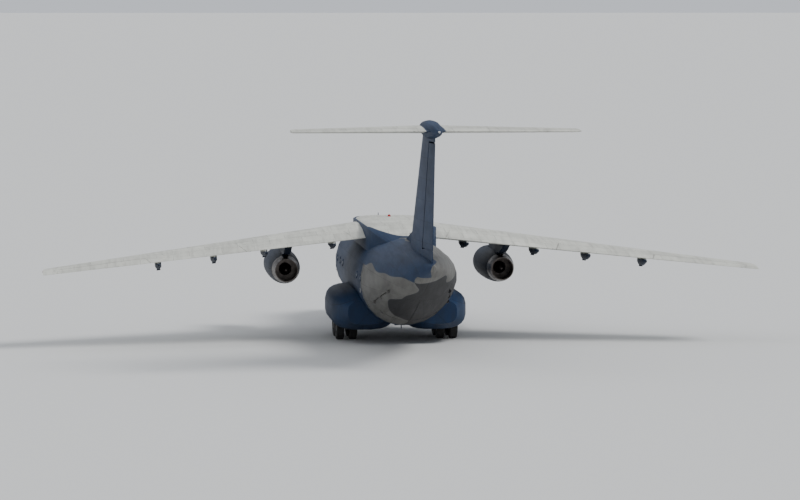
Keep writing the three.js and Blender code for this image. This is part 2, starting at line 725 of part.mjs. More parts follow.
// One aerofoil as [aft, height] points. Grow thickens it all round, and trim shortens its chord.
function aerofoil({ aft, chord, thick }, camber, { grow = 0, drop = 0, trim = 1 } = {}) {
  const point = (t, side) => {
    const shape = camber * 4 * t * (1 - t) + side * halfThickness(thick * trim, t);
    const end = t === 0 ? -grow : 0;
    const tail = t === 1 ? grow : 0;
    return [aft + chord * (1 - trim) * 0.6 + chord * trim * t + end + tail, shape * chord + side * grow - drop];
  };
  const upper = CHORD_STEPS.map((t) => point(t, 1)).reverse();
  const lower = CHORD_STEPS.map((t) => point(t, -1));
  return [...upper, ...lower];
}

// A lifting surface along +X, flat in Z, with a short rounded tip
function surface(root, tip, start, camber, options = {}) {
  const straight = [0, 0.5, 1].map((t) => THREE.MathUtils.lerp(start, tip.span - 0.16, t));
  const stations = [...straight.map((span) => [span, 1]), [tip.span - 0.04, 0.93], [tip.span, 0.8]];
  return loft(stations.map(([span, trim]) => aerofoil(
    mixed(root, tip, span),
    camber,
    { ...options, trim },
  ).map(([aft, z]) => [span, at(aft), z])));
}

// A plan region behind a line at one chord fraction, with its ends square to that line
function behindLine(root, tip, { from, to, chord, depth = 4, gap = 0, endGap = gap }, z0, z1) {
  const start = new THREE.Vector2(from, chordPoint(root, tip, from, chord));
  const end = new THREE.Vector2(to, chordPoint(root, tip, to, chord));
  const along = end.clone().sub(start).normalize();
  const back = new THREE.Vector2(-along.y, along.x);
  const corner = (point, sign, distance) => {
    const place = point.clone().addScaledVector(along, sign * endGap).addScaledVector(back, distance);
    return [place.x, place.y];
  };
  return planPrism([
    corner(start, -1, -gap),
    corner(end, 1, -gap),
    corner(end, 1, depth),
    corner(start, -1, depth),
  ], z0, z1);
}

const PIN = { radius: 0.03, tip: 0.004 };
const PIN_SHARE = 0.93;

// A hinged control with a round nose and a pin at each end, and what its fixed surface loses to make room for it
function control(body, root, tip, { from, to, chord, recess = 0.015 }, camber) {
  const noseRadius = (span) => {
    const { thick, chord: size } = mixed(root, tip, span);
    return halfThickness(thick, chord) * size;
  };
  const centre = (span) => camber * 4 * chord * (1 - chord) * mixed(root, tip, span).chord;
  const end = (span) => [span, chordPoint(root, tip, span, chord), centre(span)];
  const nose = (extra, reach) => bar(
    end(from - reach),
    end(to + reach),
    noseRadius(from) + extra,
    noseRadius(to) + extra,
    12,
  );
  const reach = PLAY * PIN_SHARE;
  const pins = [[from, from - reach], [to, to + reach]].map(([near, far]) => bar(
    end(near + (near - far)),
    end(far),
    PIN.radius,
    PIN.tip,
  ));
  const region = behindLine(root, tip, { from, to, chord }, -1, 1);
  const room = behindLine(root, tip, { from, to, chord, gap: 0.002, endGap: PLAY }, -1, 1);
  const band = behindLine(root, tip, { from, to, chord, gap: 0.6, endGap: 0 }, -1, 1);
  const roomBand = behindLine(root, tip, { from, to, chord, gap: 0.6, endGap: PLAY }, -1, 1);
  return {
    moving: body.intersect(region).add(nose(-0.004, 0.2).intersect(band)).add(joined(pins)),
    room: room.add(nose(recess, 0.3).intersect(roomBand)),
  };
}

function transformed(solid, matrix) {
  const geometry = toGeometry(solid);
  geometry.applyMatrix4(matrix);
  return toSolid(geometry);
}

const wingPlace = new THREE.Matrix4()
  .makeTranslation(0, 0, WING_HEIGHT)
  .multiply(new THREE.Matrix4().makeRotationY(ANHEDRAL));
const wingBody = surface(WING_ROOT, WING_TIP, WING_START, WING_CAMBER);

// Flap track pods hang below the wing. Their front halves are fixed, their rear halves turn.
const POD = [
  { back: -1.0, half: 0.02, high: 0.02, low: -0.14 },
  { back: -0.75, half: 0.09, high: 0.06, low: -0.28 },
  { back: -0.35, half: 0.14, high: 0.06, low: -0.38 },
  { back: 0.1, half: 0.15, high: 0.06, low: FLAP_PIVOT },
  { back: 0.6, half: 0.14, high: 0.03, low: -0.36 },
  { back: 1.1, half: 0.1, high: -0.02, low: -0.27 },
  { back: 1.6, half: 0.03, high: -0.09, low: -0.16 },
];
const POD_SIDES = 8;

function trackPod(span) {
  const hinge = chordPoint(WING_ROOT, WING_TIP, span, FLAP_CHORD);
  const length = mixed(WING_ROOT, WING_TIP, span).chord / 4.4;
  return loft(POD.map(({ back, half, high, low }) => Array.from({ length: POD_SIDES }, (_, i) => {
    const angle = ((i + 0.5) / POD_SIDES) * Math.PI * 2;
    return [
      span + half * Math.cos(angle),
      at(hinge + back * length),
      (high + low) / 2 + ((high - low) / 2) * Math.sin(angle),
    ];
  })));
}

const flapLine = (gap) => ({ from: 1, to: 14, chord: FLAP_CHORD, gap });
const behindFlapLine = (gap) => behindLine(WING_ROOT, WING_TIP, flapLine(gap), -2, 2);
const pods = FLAPS.flatMap(({ tracks }) => tracks.map(trackPod));

function flapHinge({ from, to, tracks }) {
  const [start, end] = [from, to].map(
    (span) => [span, chordPoint(WING_ROOT, WING_TIP, span, FLAP_CHORD), FLAP_PIVOT],
  );
  const stretch = Math.hypot(end[0] - start[0], end[1] - start[1]) / (to - from);
  const distances = tracks.map((span) => (span - from) * stretch);
  return knuckles(start, end, KNUCKLE.radius, KNUCKLE.width, distances);
}

const fixedPods = FLAPS.map(flapHinge).reduce(onFixed, joined(pods).subtract(behindFlapLine(PLAY)));

function flapSpace({ from, to }, gap) {
  return behindLine(WING_ROOT, WING_TIP, { from, to, chord: FLAP_CHORD, gap }, -2, 2);
}

const aileron = control(wingBody, WING_ROOT, WING_TIP, { ...AILERON, chord: FLAP_CHORD }, WING_CAMBER);

// Spoilers are a skin on top of the wing, ahead of the flaps. Each turns about a line just inside
// its front edge, on a pin at each end.
function spoilerSpace({ front, rear, sides, below }) {
  const { from, to, depth } = SPOILER;
  const underside = surface(WING_ROOT, WING_TIP, WING_START, WING_CAMBER, { drop: depth + below });
  const ahead = { from, to, chord: SPOILER.front, gap: front, endGap: sides };
  const behind = { from: 1, to: 14, chord: SPOILER.rear, gap: -rear };
  return behindLine(WING_ROOT, WING_TIP, ahead, -1, 2)
    .subtract(behindLine(WING_ROOT, WING_TIP, behind, -2, 3))
    .subtract(underside);
}

function topHeight(span, fraction) {
  const next = CHORD_STEPS.findIndex((t) => t >= fraction);
  const [a, b] = [CHORD_STEPS[next - 1], CHORD_STEPS[next]];
  const { thick, chord } = mixed(WING_ROOT, WING_TIP, span);
  const height = (t) => (WING_CAMBER * 4 * t * (1 - t) + halfThickness(thick, t)) * chord;
  return THREE.MathUtils.lerp(height(a), height(b), (fraction - a) / (b - a));
}

function spoilerHinge(span) {
  const { front, hingeAft, hingeDepth } = SPOILER;
  const [edge, further] = [0, 1].map((step) => chordPoint(WING_ROOT, WING_TIP, span + step, front));
  const sweep = further - edge;
  return [span - hingeAft * sweep, edge + hingeAft, topHeight(span, front) - hingeDepth];
}

const spoilerRoom = spoilerSpace({ front: 0.02, rear: PLAY, sides: PLAY, below: 0.008 });
const spoilerPins = joined([
  [SPOILER.from, -1],
  [SPOILER.to, 1],
].map(([span, side]) => bar(
  spoilerHinge(span - side * 0.05),
  spoilerHinge(span + side * PLAY * PIN_SHARE),
  0.015,
  0.004,
)));
const spoiler = wingBody
  .intersect(spoilerSpace({ front: 0, rear: 0, sides: 0, below: 0 }))
  .add(spoilerPins);

// Slats close the wing's leading edge
function slatSpace(gap) {
  const line = { from: 1, to: 15.5, chord: SLAT_CHORD, gap: -gap };
  const ends = block(2.2 - gap, 14.6 + gap, 8, 17, -1, 1);
  return ends.subtract(behindLine(WING_ROOT, WING_TIP, { ...line, depth: 8 }, -2, 2));
}

const rootCut = block(0, WING_SIDE + SEAT, 7, 17, 2, 7);
const fixedWing = FLAPS.reduce((wing, flap) => wing.subtract(flapSpace(flap, PLAY)), wingBody)
  .subtract(aileron.room)
  .subtract(spoilerRoom)
  .subtract(slatSpace(SEAT))
  .add(fixedPods);

addPair('wing', 'wing', transformed(fixedWing, wingPlace).subtract(rootCut));
for (const flap of FLAPS) {
  const carried = joined(flap.tracks.map(trackPod)).intersect(behindFlapLine(0));
  const moving = onMoving(wingBody.intersect(flapSpace(flap, 0)).add(carried), flapHinge(flap));
  addPair(flap.name, 'wing', transformed(moving, wingPlace));
}
addPair('aileron', 'wing', transformed(aileron.moving, wingPlace));
addPair('spoiler', 'wing', transformed(spoiler, wingPlace));
addPair('slat', 'wing', transformed(wingBody.intersect(slatSpace(0)), wingPlace));

// The wing's centre section and its fairing over the fuselage
const WING_FAIRING = [
  { aft: 7.2, half: 0.8, top: 4.66 },
  { aft: 7.8, half: 1.15, top: 4.9 },
  { aft: 8.7, half: WING_SIDE, top: 5.16 },
  { aft: 15.1, half: WING_SIDE, top: 5.16 },
  { aft: 16.3, half: 1.25, top: 4.96 },
  { aft: 17.7, half: 0.8, top: 4.66 },
];
const FAIRING_FOOT = 3.2;

function saddleRing({ aft, half, top }) {
  const side = [[half, FAIRING_FOOT], [half, top - 0.14], [half * 0.9, top - 0.07], [half * 0.6, top - 0.02]];
  const port = side.map(([x, z]) => [x, at(aft), z]);
  const starboard = side.map(([x, z]) => [-x, at(aft), z]).reverse();
  return [...port, [0, at(aft), top], ...starboard];
}

add('wing_centre', 'hull', toGeometry(loft(WING_FAIRING.map(saddleRing)).subtract(hullClear)));

// Engines: a nacelle tube around a fan and a plain core block, with a nozzle behind
const NACELLE = [
  [0.56, 0.04], [0.6, 0], [0.68, 0.14], [0.735, 0.6], [0.74, 2.2], [0.7, 3.4], [0.62, 4.2],
  [DUCT_RADIUS, 4.2], [DUCT_RADIUS, 0.5],
];
const NOZZLE = [[0.615, 4.2], [0.5, 5.0], [0.46, 5.0], [0.5, 4.2]];
const CORE = [[0, 0.98], [DUCT_RADIUS - SEAT, 0.98], [DUCT_RADIUS - SEAT, 3.95], [0.28, 3.95],
  [0.2, 4.35], [0, 4.75]];
const FAN = [[0, 0.42], [0.09, 0.5], [0.17, 0.66], [0.19, 0.76], [0.505, 0.78], [0.505, 0.86],
  [0.19, 0.9], [0.06, 0.9], [0.06, 0.98 - SEAT], [0, 0.98 - SEAT]];
const engineProfile = (points, shift = 0) => points.map(([r, aft]) => [r, ENGINE_AFT + aft + shift]);
const closedProfile = (points) => [...points, points[0]];

const nacelle = turned(closedProfile(engineProfile(NACELLE)), ENGINE_X, ENGINE_Z);
const nacelleClear = turned(
  engineProfile([[0, 0], ...NACELLE.slice(1, 7), [0, 4.2]]).map(([r, aft]) => [r && r + SEAT, aft]),
  ENGINE_X,
  ENGINE_Z,
);
addPair('nacelle', 'engine', nacelle);
addPair('exhaust_nozzle', 'hotMetal', turned(
  closedProfile(engineProfile(NOZZLE, SEAT)),
  ENGINE_X,
  ENGINE_Z,
));
addPair('engine_core', 'steel', turned(engineProfile(CORE), ENGINE_X, ENGINE_Z));
addPair('fan', 'steel', turned(engineProfile(FAN), ENGINE_X, ENGINE_Z));
const wingClear = transformed(
  surface(WING_ROOT, WING_TIP, WING_START, WING_CAMBER, { grow: SEAT }),
  wingPlace,
);
const PYLON_HALF = 0.15;
const pylon = sidePrism([
  [8.6, 3.6],
  [8.8, 3.78],
  [9.7, 3.98],
  [10.45, 4.2],
  [13.4, 4.22],
  [13.66, 4.1],
  [13.1, 3.88],
  [12.4, 3.7],
  [11.62, 3.66],
  [11.56, 3.5],
  [10.6, 3.4],
], ENGINE_X - PYLON_HALF, ENGINE_X + PYLON_HALF);
addPair('pylon', 'engine', pylon.subtract(nacelleClear).subtract(wingClear));

// Fin, with its dorsal fillet, and the rudder. Both are made flat along +X and then stood up.
const finPlace = new THREE.Matrix4().set(0, 0, 1, 0, 0, 1, 0, 0, 1, 0, 0, 0, 0, 0, 0, 1);

function stood(solid) {
  const geometry = toGeometry(solid);
  geometry.applyMatrix4(finPlace);
  geometry.setIndex([...geometry.index.array].reverse());
  return toSolid(geometry);
}

function uprightRegion(from, to) {
  return block(from, to, 18, 30, -1, 1);
}

const finBody = loft([FIN_ROOT, FIN_TOP].map((section) => aerofoil(section, 0)
  .map(([aft, z]) => [section.span, at(aft), z])));
// The fin is hollow ahead of the rudder and open at its root
const finHollow = loft([FIN_ROOT, FIN_TOP].map((section, end) => {
  const { span, aft, chord, thick } = end ? { span: FIN_HOLLOW.top, ...mixed(FIN_ROOT, FIN_TOP, FIN_HOLLOW.top) }
    : section;
  const half = (t) => halfThickness(thick, t) * chord - FIN_HOLLOW.wall;
  const { front, rear } = FIN_HOLLOW;
  const middle = (front + rear) / 2;
  const corners = [[rear, 1], [middle, 1], [front, 1], [front, -1], [middle, -1], [rear, -1]];
  return corners.map(([t, side]) => [span, at(aft + chord * t), side * half(t)]);
}));
const rudder = control(
  finBody,
  FIN_ROOT,
  FIN_TOP,
  { from: RUDDER.from - 2, to: RUDDER.to + 2, chord: RUDDER.chord, recess: RUDDER.recess },
  0,
);
const rudderLine = (span) => [span, chordPoint(FIN_ROOT, FIN_TOP, span, RUDDER.chord), 0];
const rudderPins = [
  [RUDDER.from + 0.1, RUDDER.from - RUDDER.endGap + RUDDER.pinGap],
  [RUDDER.to - 0.1, RUDDER.to + RUDDER.endGap - RUDDER.pinGap],
].map(([inside, tip]) => bar(rudderLine(inside), rudderLine(tip), PIN.radius, PIN.tip));
const rudderMoving = rudder.moving
  .intersect(uprightRegion(RUDDER.from, RUDDER.to))
  .add(joined(rudderPins));
const rudderRoom = rudder.room.intersect(
  uprightRegion(RUDDER.from - RUDDER.endGap, RUDDER.to + RUDDER.endGap),
);
const bulletProfile = [[0, 23.5], [0.14, 23.7], [0.29, 24.4], [BULLET_RADIUS, 25.6],
  [BULLET_RADIUS, 26.6], [0.24, 28.0], [0.08, 28.9], [0, LENGTH]];
const bullet = turned(bulletProfile, 0, TAIL_HEIGHT);
const bulletClear = turned(
  bulletProfile.map(([r, aft]) => [r && r + SEAT, aft + Math.sign(aft - 26) * SEAT]),
  0,
  TAIL_HEIGHT,
);
const dorsalFillet = sidePrism([[17.9, 4.73], [21.0, 5.35], [21.8, 4.5], [17.9, 4.5]], -0.1, 0.1);
const fin = stood(finBody.subtract(rudderRoom))
  .add(dorsalFillet)
  .subtract(stood(finHollow))
  .subtract(hullClear)
  .subtract(bulletClear);
add('fin', 'hull', toGeometry(fin));
add('rudder', 'hull', toGeometry(stood(rudderMoving)));

// Tailplane with its bullet fairing, and the elevators
const tailPlace = new THREE.Matrix4().makeTranslation(0, 0, TAIL_HEIGHT);
const tailBody = surface(TAIL_ROOT, TAIL_TIP, 0, 0);
const elevator = control(tailBody, TAIL_ROOT, TAIL_TIP, ELEVATOR, 0);
const halfTail = transformed(tailBody.subtract(elevator.room), tailPlace);
add('tailplane', 'wing', toGeometry(halfTail.add(mirrored(halfTail)).add(bullet)));
addPair('elevator', 'wing', transformed(elevator.moving, tailPlace));

export default aircraft;
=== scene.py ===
"""Dresses a twin-turbofan military transport plane: skins, paint, engines, wheels and fittings.

Places are in metres in the aircraft's own frame: the nose points along -Y, the port wing along
+X, and stations called aft are metres behind the nose tip.
"""
import json
import math
from functools import partial

import bpy
from bpy.props import FloatProperty, FloatVectorProperty, IntProperty, PointerProperty
from mathutils import Matrix, Vector

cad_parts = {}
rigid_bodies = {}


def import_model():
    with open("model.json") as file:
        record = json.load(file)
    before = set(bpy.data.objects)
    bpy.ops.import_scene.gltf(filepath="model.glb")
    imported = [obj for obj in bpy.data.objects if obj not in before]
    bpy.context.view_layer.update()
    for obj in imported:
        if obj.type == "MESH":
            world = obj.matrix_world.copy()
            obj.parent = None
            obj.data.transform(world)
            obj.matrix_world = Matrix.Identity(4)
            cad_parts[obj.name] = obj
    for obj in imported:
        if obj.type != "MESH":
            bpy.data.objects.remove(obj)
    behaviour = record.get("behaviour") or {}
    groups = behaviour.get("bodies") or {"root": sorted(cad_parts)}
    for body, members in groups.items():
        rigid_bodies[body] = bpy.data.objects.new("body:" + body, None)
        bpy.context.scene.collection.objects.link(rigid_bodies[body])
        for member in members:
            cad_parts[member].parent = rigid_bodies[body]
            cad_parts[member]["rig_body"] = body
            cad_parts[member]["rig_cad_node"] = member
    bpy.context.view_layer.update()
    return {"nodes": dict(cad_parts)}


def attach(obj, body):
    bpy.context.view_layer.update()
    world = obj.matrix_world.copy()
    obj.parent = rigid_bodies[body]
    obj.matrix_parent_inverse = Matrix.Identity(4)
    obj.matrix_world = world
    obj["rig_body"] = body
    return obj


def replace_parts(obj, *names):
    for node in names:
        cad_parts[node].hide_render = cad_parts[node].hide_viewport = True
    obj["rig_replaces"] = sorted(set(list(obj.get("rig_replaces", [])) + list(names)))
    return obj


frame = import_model()
BODY_OF = {node: part["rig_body"] for node, part in frame["nodes"].items()}

bl_info = {
    "name": "Transport Plane",
    "version": (1, 0, 0),
    "blender": (4, 5, 0),
    "location": "View3D > Sidebar > Plane",
    "description": "Skins, paint, engines, wheels and fittings of a transport plane",
    "category": "Object",
}

LENGTH = 29.0
SIDES = {"left": 1, "right": -1}

# Fuselage sections: aft, half width, lowest and highest point, and the height of the widest line
HULL = [
    (0.0, 0.08, 2.17, 2.33, 2.25),
    (0.12, 0.42, 1.84, 2.66, 2.25),
    (0.4, 0.76, 1.51, 2.97, 2.26),
    (0.9, 1.1, 1.21, 3.3, 2.3),
    (1.5, 1.38, 1.05, 3.56, 2.38),
    (2.5, 1.68, 0.92, 4.36, 2.55),
    (3.3, 1.83, 0.88, 4.64, 2.68),
    (4.3, 1.92, 0.85, 4.74, 2.77),
    (5.5, 1.95, 0.85, 4.75, 2.8),
    (15.7, 1.95, 0.85, 4.75, 2.8),
    (17.2, 1.94, 1.03, 4.75, 2.9),
    (18.9, 1.88, 1.45, 4.74, 3.1),
    (20.8, 1.7, 2.01, 4.71, 3.36),
    (22.9, 1.36, 2.68, 4.65, 3.66),
    (25.0, 0.88, 3.36, 4.55, 3.95),
    (26.4, 0.46, 3.82, 4.43, 4.12),
    (26.9, 0.12, 4.05, 4.29, 4.17),
]
WALL, REAR_WALL, REAR_JOIN = 0.11, 0.07, 15.7
FLAP_LINE = 0.72
CARGO_FLOOR, COCKPIT_FLOOR, RAIL_FRONT = 1.45, 1.85, 6.4
RAMP_FRONT, RAMP_REAR, RAMP_DECK = 15.8, 18.2, 1.9

# Wing, tailplane and fin: span, aft of the leading edge, chord and thickness at root and tip,
# and camber
ANHEDRAL = math.radians(5.5)
WING_HEIGHT, TAIL_HEIGHT = 4.69, 9.63
WING = ((1.5, 9.0, 5.6, 0.125), (15.3 / math.cos(ANHEDRAL), 14.75, 2.05, 0.11), 0.018)
TAIL = ((0.0, 24.55, 3.35, 0.09), (5.65, 27.0, 1.55, 0.09), 0.0)
FIN = ((4.2, 20.0, 6.6, 0.1), (9.6, 24.3, 3.3, 0.1), 0.0)
BULLET_RADIUS = 0.36
# Lowest and highest point of the fairing below the rudder
RUDDER_FOOT = (4.802, 4.86)

ENGINE_X, ENGINE_Z, ENGINE_AFT = 4.75, 2.98, 7.4
MAIN_TYRE = {"radius": 0.57, "width": 0.36, "rim": 0.3, "spread": 0.28, "axle": 0.06}
NOSE_TYRE = {"radius": 0.4, "width": 0.24, "rim": 0.2, "spread": 0.2, "axle": 0.045}
HALF_TRACK, MAIN_GEAR_AFT, BOGIE_HALF, NOSE_GEAR_AFT = 2.2, 12.23, 0.65, 2.9
SEAT_X = 0.58

# Where the patches of the rear begin, the height of the low patches' upper edge, the pale strip
# above it (a painted highlight), and how far to port the slate (painted shade, low) and the
# upper drab (painted sunlight, high to starboard) reach
PATCH_START, PATCH_LEVEL, HIGHLIGHT_STRIP_HEIGHT = 17.2, 3.55, 0.38
SHADE_EDGE, SUNLIT_EDGE = 0.9, 0.3
SEAM_SHIFT, ROOF_HALF_WIDTH = 0.25, 1.44

# Shares of grime and of a seam's brightness, on dark and on pale paint
DARK_WEAR, PALE_WEAR = (0.35, 0.25), (0.24, 0.35)
# Share of the hull paint's brightness on the engines, pylons and pods: the darkening is painted
# shade
ENGINE_SHADE_SHARE = 0.45
MID_GREY, GRIME = (0.5, 0.5, 0.5, 1), (0.02, 0.019, 0.017, 1)
LINING = (0.33, 0.36, 0.31)

# Colour, worn colour, scale of the grain, roughness, depth, and the share of metal
PLAIN = {
    "radome_coating": ((0.011, 0.012, 0.014), (0.009, 0.0095, 0.011), 3, 0.5, 0.0004),
    "lip_metal": ((0.45, 0.46, 0.48), (0.38, 0.39, 0.41), 7, 0.24, 0.0003, 1),
    "hot_metal": ((0.13, 0.115, 0.105), (0.075, 0.064, 0.058), 4, 0.34, 0.0005, 1),
    "leg_paint": ((0.42, 0.43, 0.43), (0.24, 0.24, 0.23), 14, 0.4, 0.001),
    "chrome_rod": ((0.72, 0.73, 0.74), (0.6, 0.6, 0.6), 30, 0.1, 0.0004, 1),
    "rim_paint": ((0.4, 0.41, 0.41), (0.26, 0.255, 0.25), 9, 0.42, 0.0005),
    "tyre_rubber": ((0.012, 0.012, 0.013), (0.028, 0.026, 0.024), 22, 0.75, 0.002),
    "deck_metal": ((0.3, 0.31, 0.315), (0.2, 0.2, 0.2), 7, 0.45, 0.001, 0.4),
    "lining": (LINING, (0.24, 0.26, 0.22), 5, 0.6, 0.001),
    "seat_cloth": ((0.05, 0.062, 0.04), (0.028, 0.034, 0.022), 160, 0.85, 0.002),
    "panel_plastic": ((0.03, 0.031, 0.033), (0.018, 0.018, 0.019), 60, 0.55, 0.0006),
    "seal_rubber": ((0.012, 0.012, 0.012), (0.02, 0.02, 0.02), 40, 0.7, 0.0005),
    "blade_metal": ((0.25, 0.26, 0.28), (0.16, 0.16, 0.17), 24, 0.28, 0.0004, 1),
}

# Tint, transmission and glow
CLEAR = {
    "window_glass": ((0.16, 0.2, 0.21), 0.8),
    "screen_glass": ((0.01, 0.03, 0.045), 0, 0.6),
    "lamp_strip": ((1.0, 0.94, 0.82), 0, 5),
    "red_lens": ((0.5, 0.01, 0.01),),
    "green_lens": ((0.01, 0.35, 0.08),),
    "white_lens": ((0.8, 0.8, 0.8),),
}

# Points nearer than this are one, edges sharper than this are rounded, and a face that leans
# less than this from the curved shape is shaded like it
MERGE_DISTANCE, CREASE, AGREEMENT = 0.0002, math.radians(35), math.radians(28)

materials, groups = {}, {}


def at(aft):
    return aft - LENGTH / 2


class PlaneSettings(bpy.types.PropertyGroup):
    """Colours and sizes that a user would change"""

    hull_colour: FloatVectorProperty(
        name="Hull", description="Main paint of the fuselage, fin and engines", subtype="COLOR",
        default=(0.008, 0.024, 0.062), min=0, max=1)
    # Drab: a pale patch low to port, and painted sunlight high to starboard on the rear
    drab_and_sunlit_colour: FloatVectorProperty(
        name="Drab", description="Pale patches of the rear fuselage", subtype="COLOR",
        default=(0.115, 0.113, 0.105), min=0, max=1)
    # Slate: painted shade, low on the rear fuselage
    painted_shade_colour: FloatVectorProperty(
        name="Slate", description="Darkest paint, low on the rear fuselage", subtype="COLOR",
        default=(0.0085, 0.0085, 0.011), min=0, max=1)
    wing_colour: FloatVectorProperty(
        name="Wing", description="Pale paint of the wing and tailplane", subtype="COLOR",
        default=(0.5, 0.5, 0.45), min=0, max=1)
    floor_tone: FloatProperty(
        name="Floor", description="Tone of the studio floor", default=0.62, min=0.1, max=1,
        subtype="FACTOR")
    blade_count: IntProperty(
        name="Fan blades", description="Blades of each fan", default=24, min=12, max=40)
    porthole_radius: FloatProperty(
        name="Porthole", description="Radius of a cabin porthole", default=0.13, min=0.05, max=0.2,
        unit="LENGTH")
    rib_spacing: FloatProperty(
        name="Rib spacing", description="Distance between the hold's frames", default=0.75,
        min=0.4, max=1.5, unit="LENGTH")
    wick_length: FloatProperty(
        name="Static wick", description="Length of a static wick", default=0.16, min=0.05, max=0.3,
        unit="LENGTH")


def settings():
    return bpy.context.scene.plane_settings


# Selection and mesh helpers


def object_mode():
    bpy.ops.object.mode_set(mode="OBJECT")


def deselect_all():
    if bpy.context.mode != "OBJECT":
        object_mode()
    bpy.ops.object.select_all(action="DESELECT")


def only(piece):
    deselect_all()
    piece.select_set(True)
    bpy.context.view_layer.objects.active = piece
    return piece


def edited(piece):
    """Enters edit mode with all of a piece selected"""
    only(piece)
    bpy.ops.object.mode_set(mode="EDIT")
    bpy.ops.mesh.select_all(action="SELECT")


def settle(piece):
    """Moves a piece's place, turn and size into its mesh"""
    only(piece)
    bpy.ops.object.transform_apply(location=True, rotation=True, scale=True)
    return piece


def apply_modifiers(piece):
    only(piece)
    for modifier in list(piece.modifiers):
        bpy.ops.object.modifier_apply(modifier=modifier.name)
    return piece


def rounded(piece, width, segments=2):
    modifier = piece.modifiers.new("Rounded edges", "BEVEL")
    modifier.width, modifier.segments = width, segments
    modifier.limit_method, modifier.angle_limit = "ANGLE", CREASE
    return apply_modifiers(piece)


def smoothed(piece, angle=35):
    only(piece)
    bpy.ops.object.shade_smooth_by_angle(angle=math.radians(angle))
    return piece


def outwards(piece):
    """Merges a piece's doubles and turns its faces outwards"""
    edited(piece)
    bpy.ops.mesh.remove_doubles(threshold=MERGE_DISTANCE)
    bpy.ops.mesh.normals_make_consistent(inside=False)
    object_mode()
    return piece


def joined(pieces):
    """One piece of a list of pieces, or a single piece as it is"""
    if not isinstance(pieces, list):
        return only(pieces)
    deselect_all()
    for piece in pieces:
        piece.select_set(True)
    bpy.context.view_layer.objects.active = pieces[0]
    if len(pieces) > 1:
        bpy.ops.object.join()
    return bpy.context.object


def placed(pieces, name, material, body="airframe", replaced=(), angle=35):
    """Joins pieces, smooths them if an angle is given, and makes them part of a body"""
    piece = joined(pieces)
    if angle is not None:
        smoothed(piece, angle)
    piece.name = name
    piece.data.name = name
    piece.data.materials.clear()
    piece.data.materials.append(materials[material])
    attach(piece, body)
    if replaced:
        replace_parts(piece, *replaced)
    return piece


def copied(piece, matrix):
    """A copy with its own mesh, moved by a matrix"""
    only(piece)
    bpy.ops.object.duplicate()
    copy = bpy.context.object
    copy.matrix_world = matrix @ copy.matrix_world
    settle(copy)
    return outwards(copy) if matrix.determinant() < 0 else copy


def both_sides(pieces):
    """Port pieces joined with their starboard twins"""
    port = joined(pieces)
    return joined([port, copied(port, Matrix.Scale(-1, 4, Vector((1, 0, 0))))])


def cube(size, place, turn=(0, 0, 0), round_off=0.004):
    deselect_all()
    bpy.ops.mesh.primitive_cube_add(size=1, location=place, rotation=turn, scale=size)
    return rounded(settle(bpy.context.object), round_off)


def rod(start, end, radius, end_radius=None, sides=20):
    start, end = Vector(start), Vector(end)
    along = end - start
    deselect_all()
    bpy.ops.mesh.primitive_cone_add(
        vertices=sides,
        radius1=radius,
        radius2=radius if end_radius is None else end_radius,
        depth=along.length,
        location=(start + end) / 2,
        rotation=along.to_track_quat("Z", "Y").to_euler(),
    )
    return rounded(settle(bpy.context.object), min(radius * 0.12, 0.01), 1)


def dome(place, size, facing_to=(0, 0, 1), segments=24):
    """A lamp's lens or a low cover: a sphere of three half sizes, cut flat through its middle"""
    deselect_all()
    bpy.ops.mesh.primitive_uv_sphere_add(
        segments=segments, ring_count=segments // 2, radius=1, location=place, scale=size)
    piece = settle(bpy.context.object)
    edited(piece)
    bpy.ops.mesh.bisect(plane_co=place, plane_no=facing_to, use_fill=True, clear_inner=True)
    return outwards(piece)


def extrude(way):
    bpy.ops.mesh.extrude_region_move(TRANSFORM_OT_translate={"value": way})


def thickened(piece, depth):
    """A skin with half of a depth on either side"""
    modifier = piece.modifiers.new("Depth", "SOLIDIFY")
    modifier.thickness, modifier.offset = depth, 0
    return outwards(apply_modifiers(piece))


def drawn(points, closed=False):
    """A line of edges, extruded point by point from a single vertex, left in edit mode"""
    points = [Vector(point) for point in points]
    if closed:
        points.append(points[0])
    deselect_all()
    bpy.ops.mesh.primitive_plane_add(size=0.1, location=points[0])
    piece = bpy.context.object
    edited(piece)
    bpy.ops.mesh.merge(type="CENTER")
    for before, after in zip(points, points[1:]):
        extrude(after - before)
    bpy.ops.mesh.select_all(action="SELECT")
    if closed:
        bpy.ops.mesh.remove_doubles(threshold=MERGE_DISTANCE)
    return piece


def turned(profile, centre, axis="Y", sides=64, closed=False):
    """A round body: a profile of [radius, distance] points, spun about an axis"""
    along = Vector((0, 1, 0)) if axis == "Y" else Vector((1, 0, 0))
    middle, up = Vector(centre), Vector((0, 0, 1))
    piece = drawn([middle + up * radius + along * distance for radius, distance in profile], closed)
    bpy.ops.mesh.spin(steps=sides, angle=math.tau, center=middle, axis=along)
    return settle(outwards(piece))


def bridged(loops):
    """A skin between closed loops of points, in their order"""
    rings = []
    for points in loops:
        ring = drawn(points, closed=True)
        object_mode()
        rings.append(settle(ring))
    piece = joined(rings)
    edited(piece)
    bpy.ops.mesh.bridge_edge_loops()
    return piece


def facing(piece, matrix):
    """Turns a body made along Y so that it faces along the matrix's Z, and moves it there"""
    piece.matrix_world = matrix @ Matrix.Rotation(math.radians(90), 4, "X")
    return settle(piece)


def softened(profile, steps=4):
    """The same profile, with a smooth curve through its points"""
    last = len(profile) - 1
    result = []
    for i in range(last):
        p = [Vector(profile[min(max(i + k, 0), last)]) for k in (-1, 0, 1, 2)]
        for step in range(steps):
            t = step / steps
            result.append(0.5 * (
                2 * p[1] + (p[2] - p[0]) * t + (2 * p[0] - 5 * p[1] + 4 * p[2] - p[3]) * t ** 2
                + (3 * p[1] - p[0] - 3 * p[2] + p[3]) * t ** 3))
    return [*result, Vector(profile[-1])]


# Surface directions of the real curved shapes


